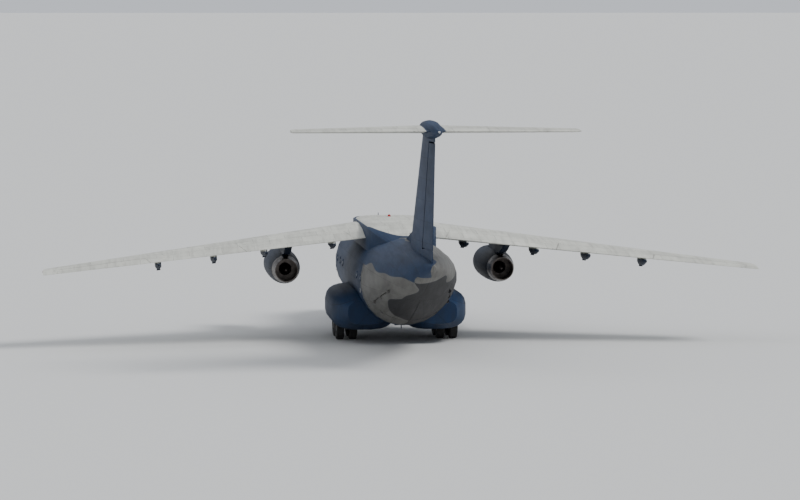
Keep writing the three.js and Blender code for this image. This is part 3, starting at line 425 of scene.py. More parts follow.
def hull_section(aft):
    """Half width, lowest, highest and widest height, smooth along the fuselage"""
    last = len(HULL) - 1
    aft = min(max(aft, HULL[0][0]), HULL[last][0])
    i = next(k for k in range(last) if aft <= HULL[k + 1][0])
    gap = HULL[i + 1][0] - HULL[i][0]
    t = (aft - HULL[i][0]) / gap

    def rate(k, column):
        return (HULL[k + 1][column] - HULL[k][column]) / (HULL[k + 1][0] - HULL[k][0])

    def slope(k, column):
        if k in (0, last):
            return rate(min(k, last - 1), column)
        before, after = rate(k - 1, column), rate(k, column)
        return 0 if before * after <= 0 else 2 * before * after / (before + after)

    def value(column):
        leaving = (t ** 3 - 2 * t ** 2 + t) * slope(i, column)
        arriving = (t ** 3 - t ** 2) * slope(i + 1, column)
        return ((2 * t ** 3 - 3 * t ** 2 + 1) * HULL[i][column] + gap * (leaving + arriving)
                + (3 * t ** 2 - 2 * t ** 3) * HULL[i + 1][column])

    return [value(column) for column in (1, 2, 3, 4)]


def hull_level(x, aft, z):
    half, low, high, wide = hull_section(aft)
    rise = high - wide if z > wide else wide - low
    return math.hypot(x / half, (z - wide) / rise)


def hull_direction(point, _looking=None):
    x, aft, z = point.x, point.y + LENGTH / 2, point.z
    step = 0.03
    return Vector((
        hull_level(x + step, aft, z) - hull_level(x - step, aft, z),
        hull_level(x, aft + step, z) - hull_level(x, aft - step, z),
        hull_level(x, aft, z + step) - hull_level(x, aft, z - step),
    )).normalized()


def on_side(aft, z):
    """The point of the port side at a station and a height"""
    half, low, high, wide = hull_section(aft)
    rise = high - wide if z > wide else wide - low
    return Vector((half * math.sqrt(max(0, 1 - ((z - wide) / rise) ** 2)), at(aft), z))


def on_top(aft, x):
    """The point of the upper skin at a station and a distance from the middle"""
    half, _, high, wide = hull_section(aft)
    return Vector((x, at(aft), wide + (high - wide) * math.sqrt(max(0, 1 - (x / half) ** 2))))


def section_at(root, tip, span):
    """Leading edge, chord and thickness of the wing, tailplane or fin at a span"""
    t = (span - root[0]) / (tip[0] - root[0])
    return [root[k] + (tip[k] - root[k]) * t for k in (1, 2, 3)]


def aerofoil_direction(root, tip, camber, span, aft, upper):
    edge, chord, thick = section_at(root, tip, span)
    c = min(max((aft - edge) / chord, 0.0015), 1)
    slope = 5 * thick * (
        0.14845 / math.sqrt(c) - 0.126 - 0.7032 * c + 0.8529 * c ** 2 - 0.406 * c ** 3)
    rise = camber * 4 * (1 - 2 * c) + (slope if upper else -slope)
    direction = Vector((0, -rise, 1)) if upper else Vector((0, rise, -1))
    return direction.normalized()


def wing_direction(point, looking):
    side = 1 if point.x > 0 else -1
    back = Matrix.Rotation(-ANHEDRAL, 3, "Y")
    local = back @ Vector((abs(point.x), point.y, point.z - WING_HEIGHT))
    look = back @ Vector((looking.x * side, looking.y, looking.z))
    found = aerofoil_direction(*WING, local.x, local.y + LENGTH / 2, look.z > 0)
    out = back.transposed() @ found
    return Vector((out.x * side, out.y, out.z))


def tail_direction(point, looking):
    return aerofoil_direction(*TAIL, abs(point.x), point.y + LENGTH / 2, looking.z > 0)


def fin_direction(point, looking):
    found = aerofoil_direction(*FIN, point.z, point.y + LENGTH / 2, looking.x > 0)
    return Vector((found.z, found.y, 0)).normalized()


def dressed(node, material, direction=None, angle=35, name=None):
    """A clean copy of a node, shaded with the true direction of its curved faces"""
    only(frame["nodes"][node])
    bpy.ops.object.duplicate()
    piece = bpy.context.object
    piece.hide_render = piece.hide_viewport = False
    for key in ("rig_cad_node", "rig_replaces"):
        if key in piece:
            del piece[key]
    if piece.data.has_custom_normals:
        bpy.ops.mesh.customdata_custom_splitnormals_clear()
    edited(piece)
    bpy.ops.mesh.remove_doubles(threshold=MERGE_DISTANCE)
    bpy.ops.mesh.dissolve_limited(angle_limit=math.radians(0.4))
    object_mode()
    smoothed(piece, angle)
    if direction:
        mesh = piece.data
        inner = mesh.attributes.new("inner face", "FLOAT", "FACE")
        for face, value in zip(mesh.polygons, inner.data):
            against = direction(face.center, face.normal).dot(face.normal) < -0.6
            value.value = against and abs(face.normal.y) < 0.8
        normals = [Vector(corner.vector) for corner in mesh.corner_normals]
        limit = math.cos(AGREEMENT)
        for face in mesh.polygons:
            if direction(face.center, face.normal).dot(face.normal) < limit:
                continue
            for loop in face.loop_indices:
                point = mesh.vertices[mesh.loops[loop].vertex_index].co
                normals[loop] = direction(point, face.normal)
        mesh.normals_split_custom_set(normals)
    return placed(piece, name or f"{node}_skin", material, BODY_OF[node], [node], None)


# Shader nodes


def put(value, socket):
    """Links another node's socket to an input, or sets the input to a plain value"""
    if isinstance(value, bpy.types.NodeSocket):
        socket.id_data.links.new(value, socket)
    elif value is not None:
        socket.default_value = value


def add_node(kind, inputs, **values):
    """A node with its own settings, in the tree of the sockets that feed it"""
    fed = next(value for value in inputs.values() if isinstance(value, bpy.types.NodeSocket))
    node = fed.id_data.nodes.new(f"ShaderNode{kind}")
    for key, value in values.items():
        setattr(node, key, value)
    for key, value in inputs.items():
        put(value, node.inputs[key])
    return node


def calc(operation, first, second=None):
    return add_node("Math", {0: first, 1: second}, operation=operation).outputs[0]


add, subtract, multiply, least, most = (
    partial(calc, operation) for operation in ("ADD", "SUBTRACT", "MULTIPLY", "MINIMUM", "MAXIMUM"))


def mixed(factor, first, second):
    """A blend of two colours"""
    return add_node("Mix", {0: factor, 6: first, 7: second}, data_type="RGBA").outputs[2]


def shaded(colour, value):
    return add_node("HueSaturation", {"Value": value, "Color": colour}).outputs["Color"]


def noise(vector, scale, detail, roughness=0.55):
    inputs = {"Vector": vector, "Scale": scale, "Detail": detail, "Roughness": roughness}
    return add_node("TexNoise", inputs).outputs["Fac"]


def spread(value, low, high):
    """Turns the range low to high into 0 to 1"""
    inputs = {"Value": value, "From Min": low, "From Max": high}
    return add_node("MapRange", inputs).outputs["Result"]


def stretched(vector, scale):
    return add_node("Mapping", {"Vector": vector, "Scale": scale}).outputs["Vector"]


def axes(vector):
    return add_node("SeparateXYZ", {0: vector}).outputs


def combined(x, y, z=None):
    return add_node("CombineXYZ", {0: x, 1: y, 2: z}).outputs[0]


# Shader groups


def new_group(name, inputs, outputs):
    """A shader group. An input without a default is a vector, one with four numbers a colour."""
    tree = bpy.data.node_groups.new(name, "ShaderNodeTree")
    for label, default in inputs.items():
        kind = "Vector" if default is None else "Color" if isinstance(default, tuple) else "Float"
        socket = tree.interface.new_socket(label, in_out="INPUT", socket_type=f"NodeSocket{kind}")
        if default is not None:
            socket.default_value = default
    for label in outputs:
        kind = "Color" if label == "Colour" else "Float"
        tree.interface.new_socket(label, in_out="OUTPUT", socket_type=f"NodeSocket{kind}")
    given, result = tree.nodes.new("NodeGroupInput"), tree.nodes.new("NodeGroupOutput")
    groups[name] = tree
    return given.outputs, result.inputs


def use_group(name, **inputs):
    return add_node("Group", inputs, node_tree=groups[name]).outputs


def make_seams_group():
    given, result = new_group(
        "Panel seams", {"Vector": None, "Length": 1.3, "Width": 0.8, "Gap": 0.006},
        ("Seam", "Tone"))
    brick = add_node("TexBrick", {
        "Vector": given["Vector"], "Brick Width": given["Length"], "Row Height": given["Width"],
        "Mortar Size": given["Gap"], "Mortar Smooth": 0.4, "Mortar": MID_GREY, "Scale": 1,
        "Color1": (0.43, 0.43, 0.43, 1), "Color2": (0.57, 0.57, 0.57, 1),
    })
    put(brick.outputs["Fac"], result["Seam"])
    put(brick.outputs["Color"], result["Tone"])


def make_weather_group():
    given, result = new_group(
        "Weathering",
        {"Vector": None, "Base": MID_GREY, "Seam": 0.0, "Tone": 0.5, "Amount": 0.35, "Gloss": 0.48,
         "Shade": 0.3},
        ("Colour", "Roughness", "Height"))
    vector, seam = given["Vector"], given["Seam"]
    streak = noise(stretched(vector, (5, 0.45, 1.6)), 1.0, 6)
    grime = multiply(spread(streak, 0.45, 0.75), given["Amount"])
    fade = multiply(spread(noise(vector, 0.7, 5), 0.45, 0.8), 0.22)
    toned = shaded(mixed(grime, given["Base"], GRIME), add(add(given["Tone"], 0.5), fade))
    put(mixed(seam, toned, shaded(toned, given["Shade"])), result["Colour"])
    put(add(given["Gloss"], multiply(streak, 0.22)), result["Roughness"])
    put(subtract(multiply(noise(vector, 26, 3), 0.08), seam), result["Height"])


def make_patches_and_light_group():
    """Drab low to port on the rear; drab as painted sunlight high to starboard and as a strip of
    painted highlight; slate as painted shade low between, under the strip
    """
    given, result = new_group(
        "Patches and painted light", {"Vector": None, "Base": MID_GREY, "Drab": MID_GREY, "Slate": MID_GREY},
        ("Colour",))
    vector = given["Vector"]
    x, y, z = axes(vector)
    wide = subtract(noise(vector, 0.38, 0), 0.5)
    long = subtract(noise(stretched(vector, (1.2, 0.6, 0.8)), 0.6, 0), 0.5)
    across = add(x, multiply(wide, 3.0))
    height = add(z, multiply(long, 1.1))
    behind = subtract(add(y, multiply(wide, 5.0)), at(PATCH_START))
    to_port, middle = subtract(across, SHADE_EDGE), subtract(SHADE_EDGE, across)
    to_starboard = subtract(SUNLIT_EDGE, across)
    low, high = subtract(PATCH_LEVEL, height), subtract(height, PATCH_LEVEL)
    # The drab strip above the slate is a painted highlight; the upper drab to starboard is painted
    # sunlight
    strip = least(high, subtract(PATCH_LEVEL + HIGHLIGHT_STRIP_HEIGHT, height))
    upper = least(high, most(to_starboard, least(middle, strip)))
    drab_and_sunlit = least(behind, most(least(to_port, low), upper))
    # Slate low between is painted shade on the rear underside
    painted_shade = least(behind, least(middle, low))
    patched = mixed(spread(drab_and_sunlit, -0.01, 0.01), given["Base"], given["Drab"])
    put(mixed(spread(painted_shade, -0.01, 0.01), patched, given["Slate"]), result["Colour"])


def make_two_tone_group():
    given, result = new_group(
        "Two-tone", {"Beyond": 0.0, "Near": MID_GREY, "Far": MID_GREY}, ("Colour",))
    far = spread(given["Beyond"], -0.004, 0.004)
    put(mixed(far, given["Near"], given["Far"]), result["Colour"])


def make_grain_group():
    given, result = new_group(
        "Fine grain",
        {"Vector": None, "Base": MID_GREY, "Dark": MID_GREY, "Scale": 20.0, "Gloss": 0.4},
        ("Colour", "Roughness", "Height"))
    worn = spread(noise(given["Vector"], given["Scale"], 5, 0.5), 0.38, 0.72)
    put(mixed(worn, given["Base"], given["Dark"]), result["Colour"])
    put(add(given["Gloss"], multiply(worn, 0.2)), result["Roughness"])
    put(worn, result["Height"])


# Materials


def new_material(name, **values):
    """A material's shader inputs, by their labels, and its coordinates"""
    material = bpy.data.materials.new(name)
    material.use_nodes = True
    materials[name] = material
    nodes = material.node_tree.nodes
    shader = nodes["Principled BSDF"].inputs
    for label, value in values.items():
        shader[label.replace("_", " ")].default_value = value
    return shader, nodes.new("ShaderNodeTexCoord").outputs["Object"]


def finish_surface(shader, surface, depth):
    """Joins a group's colour, roughness and height to a material's shader"""
    bump = add_node("Bump", {"Strength": 0.5, "Distance": depth, "Height": surface["Height"]})
    put(bump.outputs["Normal"], shader["Normal"])
    put(surface["Colour"], shader["Base Color"])
    put(surface["Roughness"], shader["Roughness"])


def panel_vector(vector, layout, centre_x=0.0, centre_z=2.8):
    """Coordinates that run along and around a round body, or across a flat one"""
    x, y, z = axes(vector)
    if layout == "round":
        angle = calc("ARCTAN2", subtract(z, centre_z), subtract(calc("ABSOLUTE", x), centre_x))
        return combined(add(y, SEAM_SHIFT), multiply(angle, 2.0))
    return combined(*{"plan": (x, y), "side": (y, z)}[layout])


def paint(name, colour, wear, layout, length, width, tones=None, **centre):
    """A paint with panel seams and weathering. Tones gives a socket that colours it in patches."""
    shader, vector = new_material(name, IOR=1.32)
    lines = use_group("Panel seams", Vector=panel_vector(vector, layout, **centre), Length=length,
                      Width=width)
    amount, shade = wear
    surface = use_group("Weathering", Vector=vector, Base=tones(vector) if tones else colour,
                        Seam=lines["Seam"], Tone=lines["Tone"], Amount=amount, Gloss=0.48,
                        Shade=shade)
    finish_surface(shader, surface, 0.006)


def plain(name, colour, dark, scale, gloss, depth, metallic=0.0):
    """A paint, metal, rubber or cloth with a fine worn grain"""
    shader, vector = new_material(name, Metallic=metallic)
    surface = use_group("Fine grain", Vector=vector, Base=(*colour, 1), Dark=(*dark, 1),
                        Scale=scale, Gloss=gloss)
    finish_surface(shader, surface, depth)


def clear(name, tint, transmission=0.5, glow=0.0):
    """A window, lens or screen"""
    new_material(name, Base_Color=(*tint, 1), Roughness=0.06, IOR=1.45,
                 Transmission_Weight=transmission, Emission_Color=(*tint, 1),
                 Emission_Strength=glow)


def leaning(vector, weights, shift):
    """A sum of |x|, y and z with weights, as the distance beyond a sloping plane"""
    x, y, z = axes(vector)
    inputs = {0: combined(calc("ABSOLUTE", x), y, z), 1: weights}
    return add(add_node("VectorMath", inputs, operation="DOT_PRODUCT").outputs["Value"], shift)


def fairing_half_width(vector):
    """Half the width of the fairing's pale roof, which is rounded off at both ends"""
    along = axes(vector)[1]
    ends = multiply(spread(along, at(7.7), at(9.3)), spread(along, at(17.1), at(15.0)))
    return multiply(calc("SQRT", ends), ROOF_HALF_WIDTH)


def beyond_pods(vector):
    """Distance above a sloping plane just under the wing, below which only the pods reach"""
    (start, edge, chord, _), (tip, tip_edge, tip_chord, _), _ = WING
    taper = (tip_chord - chord) / (tip - start)
    sweep = (tip_edge + FLAP_LINE * tip_chord - edge - FLAP_LINE * chord) / (tip - start)
    depth, fall = 0.14 / 4.4, 0.06
    weights = (math.sin(ANHEDRAL) + depth * taper + fall * sweep, -fall, math.cos(ANHEDRAL))
    shift = (depth * (chord - taper * start) - WING_HEIGHT * math.cos(ANHEDRAL)
             + fall * (at(edge + FLAP_LINE * chord) - sweep * start))
    return leaning(vector, weights, shift)


def two_tone(beyond, near, far):
    return use_group("Two-tone", Beyond=beyond, Near=near, Far=far)["Colour"]


class PLANE_OT_materials(bpy.types.Operator):
    """Mixes the paints, metals, rubber, cloth and glass"""

    bl_idname = "plane.materials"
    bl_label = "Materials"

    def execute(self, context):
        for make_group in (make_seams_group, make_weather_group, make_patches_and_light_group,
                           make_two_tone_group, make_grain_group):
            make_group()
        chosen = settings()
        hull, drab_and_sunlit, painted_shade, wing = ((*colour, 1) for colour in (
            chosen.hull_colour, chosen.drab_and_sunlit_colour, chosen.painted_shade_colour, chosen.wing_colour))
        # The engines' paint is the hull paint darkened as painted shade
        engine = (*(channel * ENGINE_SHADE_SHARE for channel in hull[:3]), 1)

        # Hull paint with painted sunlight and painted shade on the rear, and lining on inner faces
        def patches_and_light(vector):
            patched = use_group("Patches and painted light", Vector=vector, Base=hull, Drab=drab_and_sunlit, Slate=painted_shade)
            inner = vector.id_data.nodes.new("ShaderNodeAttribute")
            inner.attribute_name = "inner face"
            return two_tone(subtract(inner.outputs["Fac"], 0.5), patched["Colour"], (*LINING, 1))

        def bullet(vector):
            return two_tone(leaning(vector, (1, 0, 0), -BULLET_RADIUS - 0.03), hull, wing)

        def fairing(vector):
            reach = leaning(vector, (1, 0, 0), 0)
            return two_tone(subtract(reach, fairing_half_width(vector)), wing, hull)

        # Pods below the wing take the darkened engine colour: painted shade
        def pods(vector):
            return two_tone(beyond_pods(vector), engine, wing)

        paint("hull_paint", hull, DARK_WEAR, "round", 1.5, 0.78, patches_and_light)
        paint("fin_paint", hull, DARK_WEAR, "side", 1.5, 0.85)
        paint("wing_paint", wing, PALE_WEAR, "plan", 1.4, 0.9, pods)
        paint("tail_paint", wing, PALE_WEAR, "plan", 1.4, 0.9, bullet)
        paint("fairing_paint", wing, PALE_WEAR, "plan", 1.4, 0.75, fairing)
        paint("engine_paint", engine, DARK_WEAR, "round", 0.9, 1.0, centre_x=ENGINE_X,
              centre_z=ENGINE_Z)
        for name, values in PLAIN.items():
            plain(name, *values)
        for name, values in CLEAR.items():
            clear(name, *values)
        return {"FINISHED"}


# Pieces


def nose_ring(share, sides=48):
    """A section of the radome, whose width grows with the square root of the way back"""
    rows = [(0, 0, 2.25, 2.25, 2.25), *HULL[1:4]]
    root = share * math.sqrt(rows[-1][0])
    i = next(k for k in range(3) if root <= math.sqrt(rows[k + 1][0]) + 1e-6)
    start, end = math.sqrt(rows[i][0]), math.sqrt(rows[i + 1][0])
    t = (root - start) / (end - start)
    _, half, low, high, wide = [a + (b - a) * t for a, b in zip(rows[i], rows[i + 1])]
    ring = []
    for k in range(sides):
        x, y = math.cos(k / sides * math.tau), math.sin(k / sides * math.tau)
        ring.append((x * half, at(root ** 2), wide + y * (high - wide if y > 0 else wide - low)))
    return ring


def radome_skin(steps=16):
    piece = bridged([nose_ring(step / steps) for step in range(1, steps + 1)])
    bpy.ops.mesh.select_all(action="SELECT")
    bpy.ops.mesh.fill_holes(sides=0)
    return outwards(piece)


class PLANE_OT_fuselage(bpy.types.Operator):
    """Skins the fuselage, its doors, the wheel fairings and the wing fairing"""

    bl_idname = "plane.fuselage"
    bl_label = "Fuselage"

    def execute(self, context):
        placed(radome_skin(), "radome_skin", "radome_coating", replaced=["radome"],
               angle=40)
        round_nodes = ["fuselage_front", "fuselage_centre", "fuselage_rear", "tail_cone",
                       "crew_door", "cargo_ramp"]
        for side in SIDES:
            round_nodes += [f"petal_door_{side}", f"paratroop_door_{side}"]
            dressed(f"wheel_fairing_{side}", "hull_paint", angle=50)
            dressed(f"nose_gear_door_{side}", "hull_paint")
        for node in round_nodes:
            dressed(node, "hull_paint", hull_direction)
        dressed("wing_centre", "fairing_paint", angle=40, name="wing_fairing_skin")
        return {"FINISHED"}


class PLANE_OT_wings(bpy.types.Operator):
    """Skins the wings with their flaps, ailerons, spoilers and slats"""

    bl_idname = "plane.wings"
    bl_label = "Wings"

    def execute(self, context):
        for piece in "wing flap_inner flap_outer aileron spoiler slat".split():
            for side in SIDES:
                dressed(f"{piece}_{side}", "wing_paint", wing_direction)
        return {"FINISHED"}


def rudder_foot():
    """A fairing on the fin's foot, as thick as the fin there, up to just below the rudder

    Its top falls to the front, because the rudder's thick front end dips there as it turns.
    """
    low, high = RUDDER_FOOT
    edge, chord, thick = section_at(*FIN[:2], low)
    port = []
    for c in (0.72, 0.77, 0.82, 0.87, 0.92, 0.96, 1.0):
        half = 5 * thick * chord * (
            0.2969 * math.sqrt(c) - 0.126 * c - 0.3516 * c ** 2 + 0.2843 * c ** 3 - 0.1015 * c ** 4)
        port.append((half, at(edge + c * chord), low))
    piece = drawn([*port, *((-x, y, z) for x, y, z in reversed(port))], closed=True)
    bpy.ops.mesh.edge_face_add()
    extrude((0, 0, high - low))
    bpy.ops.mesh.select_all(action="SELECT")
    dip, slope = 0.024, 0.048
    bpy.ops.mesh.bisect(plane_co=(0, port[0][1], high - dip), plane_no=(0, -slope, 1),
                        use_fill=True, clear_outer=True)
    object_mode()
    return outwards(settle(piece))


class PLANE_OT_tail(bpy.types.Operator):
    """Skins the fin, rudder, tailplane and elevators, and closes the gap below the rudder"""

    bl_idname = "plane.tail"
    bl_label = "Tail"

    def execute(self, context):
        dressed("fin", "fin_paint", fin_direction)
        dressed("rudder", "fin_paint", fin_direction)
        placed(rudder_foot(), "rudder_foot_fairing", "fin_paint", angle=None)
        for node in ("tailplane", "elevator_left", "elevator_right"):
            dressed(node, "tail_paint", tail_direction)
        return {"FINISHED"}


class PLANE_OT_cockpit(bpy.types.Operator):
    """Fits the cockpit's panes, desk, screens, controls and floors"""

    bl_idname = "plane.cockpit"
    bl_label = "Cockpit"

    def execute(self, context):
        dressed("cockpit_glass", "window_glass", hull_direction, 40, "cockpit_panes")
        dressed("cockpit_floor", "lining", name="cockpit_lining")
        dressed("cargo_floor", "deck_metal", name="hold_floor")
        dressed("instrument_panel", "panel_plastic", name="instrument_desk")
        screens = [cube((0.29, 0.02, 0.22), (x, at(2.078), 2.78), round_off=0.006)
                   for x in (-0.72, -0.36, 0, 0.36, 0.72)]
        placed(screens, "cockpit_screens", "screen_glass", angle=None)
        throttles = [cube((0.3, 0.62, 0.42), (0, at(2.42), COCKPIT_FLOOR + 0.21), round_off=0.03)]
        for x in (-0.07, -0.025, 0.025, 0.07):
            knob = (x, at(2.38), 2.38)
            throttles += [rod((x, at(2.42), 2.24), knob, 0.008, sides=10),
                          dome(knob, (0.018, 0.024, 0.018), segments=12)]
        placed(throttles, "throttle_pedestal", "panel_plastic")
        yokes = []
        for x in (-SEAT_X, SEAT_X):
            yokes += [rod((x, at(2.36), COCKPIT_FLOOR), (x, at(2.3), 2.5), 0.025),
                      rod((x, at(2.3), 2.5), (x, at(2.42), 2.52), 0.02),
                      cube((0.3, 0.03, 0.035), (x, at(2.42), 2.52), round_off=0.01)]
            yokes += [rod((x + grip, at(2.42), 2.5), (x + grip, at(2.42), 2.66), 0.016)
                      for grip in (-0.15, 0.15)]
        placed(yokes, "control_yokes", "panel_plastic")
        return {"FINISHED"}


class PLANE_OT_seats(bpy.types.Operator):
    """Builds the two pilots' seats"""

    bl_idname = "plane.seats"
    bl_label = "Pilots' seats"

    def execute(self, context):
        lean = (math.radians(-8), 0, 0)
        for side, sign in SIDES.items():
            x = SEAT_X * sign
            metal = [cube((0.16, 0.24, 0.35), (x, at(2.98), 2.03)),
                     cube((0.5, 0.5, 0.06), (x, at(2.94), 2.21), round_off=0.02)]
            for rest in (x - 0.29, x + 0.29):
                metal += [cube((0.05, 0.36, 0.05), (rest, at(3.0), 2.5), round_off=0.015),
                          rod((rest, at(3.16), 2.24), (rest, at(3.16), 2.5), 0.015)]
            placed(metal, f"seat_frame_{side}", "panel_plastic")
            cushions = [cube((0.46, 0.46, 0.09), (x, at(2.93), 2.29), round_off=0.035),
                        cube((0.44, 0.09, 0.62), (x, at(3.21), 2.66), lean, 0.035),
                        cube((0.26, 0.08, 0.17), (x, at(3.29), 3.08), lean, 0.03)]
            pad = placed(cushions, f"seat_pad_{side}", "seat_cloth",
                         replaced=[f"pilot_seat_{side}"], angle=60)
        return {"FINISHED"}


def hull_rib(aft, low_angle, high_angle, wall, steps=24):
    """A frame that follows the inside of the hull between two angles from the port side"""
    half, low, high, wide = hull_section(aft)
    depth, width = 0.06, 0.05
    inset = wall + depth / 2
    points = []
    for step in range(steps + 1):
        angle = math.radians(low_angle + (high_angle - low_angle) * step / steps)
        rise = high - wide if angle > 0 and math.sin(angle) > 0 else wide - low
        points.append((math.cos(angle) * (half - inset), at(aft) - width / 2,
                       wide + math.sin(angle) * (rise - inset)))
    piece = drawn(points)
    extrude((0, width, 0))
    object_mode()
    return thickened(settle(piece), depth)


class PLANE_OT_hold(bpy.types.Operator):
    """Fits the hold's frames, rails and lamps, the ramp's treads and the petal doors' frames"""

    bl_idname = "plane.hold"
    bl_label = "Hold"

    def execute(self, context):
        ribs, aft = [], 6.7
        while aft < REAR_JOIN - 0.2:
            ribs.append(hull_rib(aft, -44, 224, WALL))
            aft += settings().rib_spacing
        ribs += [hull_rib(aft, -22, 202, REAR_WALL)
                 for aft in (15.95, 17.5, 18.6, 19.5, 20.4, 21.3, 22.2)]
        placed(ribs, "hold_frames", "lining")
        rails = [cube((0.09, REAR_JOIN - RAIL_FRONT, 0.03),
                      (x, at((REAR_JOIN + RAIL_FRONT) / 2), CARGO_FLOOR + 0.01))
                 for x in (-1.0, -0.4, 0.4, 1.0)]
        placed(rails, "floor_rails", "blade_metal", angle=None)
        tilt = math.radians(40)
        lamps = [cube((0.1, 0.9, 0.04), (1.13 * sign, at(aft), 4.15), (0, tilt * sign, 0))
                 for aft in (7.6, 9.8, 12.0, 14.2, 16.4, 18.4) for sign in SIDES.values()]
        placed(lamps, "hold_lamps", "lamp_strip", angle=None)

        length, rise = RAMP_REAR - RAMP_FRONT, RAMP_DECK - CARGO_FLOOR
        treads, count = [], 11
        for step in range(count):
            share = (step + 0.5) / count
            place = (0, at(RAMP_FRONT + share * length), CARGO_FLOOR + share * rise + 0.006)
            treads.append(cube((2.2, 0.045, 0.03), place, (math.atan2(rise, length), 0, 0), 0.006))
        placed(treads, "ramp_treads", "deck_metal", BODY_OF["cargo_ramp"], angle=None)
        for side, angles in (("left", (-84, -44)), ("right", (224, 264))):
            frames = [hull_rib(aft, *angles, REAR_WALL, steps=8) for aft in (19.0, 19.9, 20.8)]
            placed(frames, f"petal_frames_{side}", "lining", BODY_OF[f"petal_door_{side}"])
        return {"FINISHED"}


def engine_centre(sign):
    return Vector((ENGINE_X * sign, at(ENGINE_AFT), ENGINE_Z))


class PLANE_OT_engines(bpy.types.Operator):
    """Turns the cowls, intake lips, engine bodies and exhausts, and skins the pylons"""

    bl_idname = "plane.engines"
    bl_label = "Engines"

    def execute(self, context):
        lip = [(0.56, 0.05), (0.575, 0.012), (0.6, 0.0), (0.63, 0.02), (0.68, 0.14)]
        outside = softened([(0.68, 0.14), (0.715, 0.35), (0.735, 0.7), (0.74, 1.4), (0.74, 2.2),
                            (0.7, 3.4), (0.62, 4.2)])
        cowl = [*outside, (0.525, 4.2), (0.525, 0.5), (0.53, 0.3), (0.56, 0.05)]
        nozzle = [*softened([(0.612, 4.203), (0.56, 4.6), (0.5, 5.0)]),
                  *softened([(0.462, 5.0), (0.475, 4.7), (0.5, 4.203)])]
        cone = softened([(0.28, 3.95), (0.24, 4.2), (0.17, 4.5), (0.08, 4.7), (0, 4.75)])
        core = [(0, 0.985), (0.51, 0.985), (0.51, 3.94), *cone]
        for side, sign in SIDES.items():
            for name, profile, angle, material, slot, replaced in (
                    ("cowl", cowl, 40, "engine_paint", "engine_paint", ["nacelle"]),
                    ("intake_lip", lip, 60, "lip_metal", "engine_paint", []),
                    ("exhaust_pipe", nozzle, 40, "hot_metal", "hot_metal", ["exhaust_nozzle"]),
                    ("engine_body", core, 35, "hot_metal", "steel", ["engine_core"])):
                piece = turned(profile, engine_centre(sign), closed=profile is not core)
                placed(piece, f"{name}_{side}", material,
                       replaced=[f"{node}_{side}" for node in replaced], angle=angle)
            dressed(f"pylon_{side}", "engine_paint")
        return {"FINISHED"}


def fan_blade(root, tip, chord, thickness, steps=6):
    """A blade of a lens section, extruded up from the root and twisted at each step"""
    hub_lean, tip_lean = math.radians(28), math.radians(62)
    middle = (0, 0.84, root)
    deselect_all()
    bpy.ops.mesh.primitive_circle_add(vertices=10, radius=chord, fill_type="NGON", location=middle)
    blade = bpy.context.object
    edited(blade)
    bpy.ops.transform.resize(value=(thickness / chord, 1, 1), center_override=middle)
    bpy.ops.transform.rotate(value=hub_lean, orient_axis="Z", center_override=middle)
    for _ in range(steps):
        extrude((0, 0, (tip - root) / steps))
        bpy.ops.transform.rotate(value=(tip_lean - hub_lean) / steps, orient_axis="Z",
                                 center_override=middle)
    return settle(outwards(blade))


class PLANE_OT_fans(bpy.types.Operator):
    """Builds the two fans: a spinner and a ring of twisted blades"""

    bl_idname = "plane.fans"
    bl_label = "Fans"

    def execute(self, context):
        count = settings().blade_count
        spinner = softened([(0, 0.42), (0.06, 0.46), (0.12, 0.56), (0.17, 0.7), (0.19, 0.8)])
        hub = [*spinner, (0.19, 0.9), (0.06, 0.975), (0, 0.975)]
        blade = fan_blade(0.18, 0.498, 0.055, 0.006)
        for side, sign in SIDES.items():
            centre = engine_centre(sign)
            fan = [turned(hub, centre, sides=48)]
            for step in range(count):
                turn = Matrix.Rotation(step * math.tau / count, 4, "Y")
                fan.append(copied(blade, Matrix.Translation(centre) @ turn))
            placed(fan, f"fan_blades_{side}", "blade_metal", BODY_OF[f"fan_{side}"],
                   [f"fan_{side}"], 40)
        bpy.data.objects.remove(blade)
        return {"FINISHED"}


def tyre_profile(size, sign):
    """A tyre's section as [radius, distance] points, with grooves around the tread"""
    radius, width, rim, middle = (size[key] for key in ("radius", "width", "rim", "spread"))
    half, groove = width / 2, 0.012
    wall = rim + (radius - rim) * 0.3
    points = [(rim, middle - half * 0.72), (wall, middle - half * 0.95),
              (radius * 0.8, middle - half), (radius * 0.95, middle - half * 0.86)]
    for k in range(-2, 3):
        edge = middle + k * width * 0.15
        points += [(radius - 0.002, edge - width * 0.06), (radius, edge + width * 0.03),
                   (radius - groove, edge + width * 0.04), (radius - groove, edge + width * 0.08)]
    points += [(radius * 0.95, middle + half * 0.9), (radius * 0.8, middle + half),
               (wall, middle + half * 0.95), (rim, middle + half * 0.72)]
    return [(r, x * sign) for r, x in points]


def build_wheels(node, size, x, aft):
    """A pair of tyres on dished hubs with bolts and a common axle"""
    centre = Vector((x, at(aft), size["radius"]))
    tyres, hubs, bolts = [], [], 9
    face, rim, axle = size["width"] * 0.36, size["rim"], size["axle"]
    inner, outer = size["spread"] - face, size["spread"] + face
    dish = [(0, outer - 0.05), (axle * 1.6, outer - 0.03), (axle * 2.2, outer - 0.08),
            (rim * 0.82, outer - 0.07), (rim * 0.9, outer), (rim + 0.004, outer),
            (rim + 0.004, inner), (rim * 0.86, inner), (0, inner + 0.04)]
    bolt_ring = (axle * 2.2 + rim * 0.82) / 2
    for sign in (1, -1):
        tyres.append(turned(tyre_profile(size, sign), centre, "X", 56, closed=True))
        hubs.append(turned([(r, d * sign) for r, d in dish], centre, "X", 40))
        for k in range(bolts):
            angle = k / bolts * math.tau
            place = centre + Vector((0, math.cos(angle), math.sin(angle))) * bolt_ring
            hubs.append(rod(place + Vector((sign * (outer - 0.085), 0, 0)),
                            place + Vector((sign * (outer - 0.055), 0, 0)), 0.014, sides=6))
    reach = Vector((size["spread"] + size["width"] * 0.3, 0, 0))
    hubs.append(rod(centre - reach, centre + reach, axle))
    placed(tyres, f"{node}_tyres", "tyre_rubber", BODY_OF[node], [node], 40)
    placed(hubs, f"{node}_hubs", "rim_paint", BODY_OF[node], angle=30)


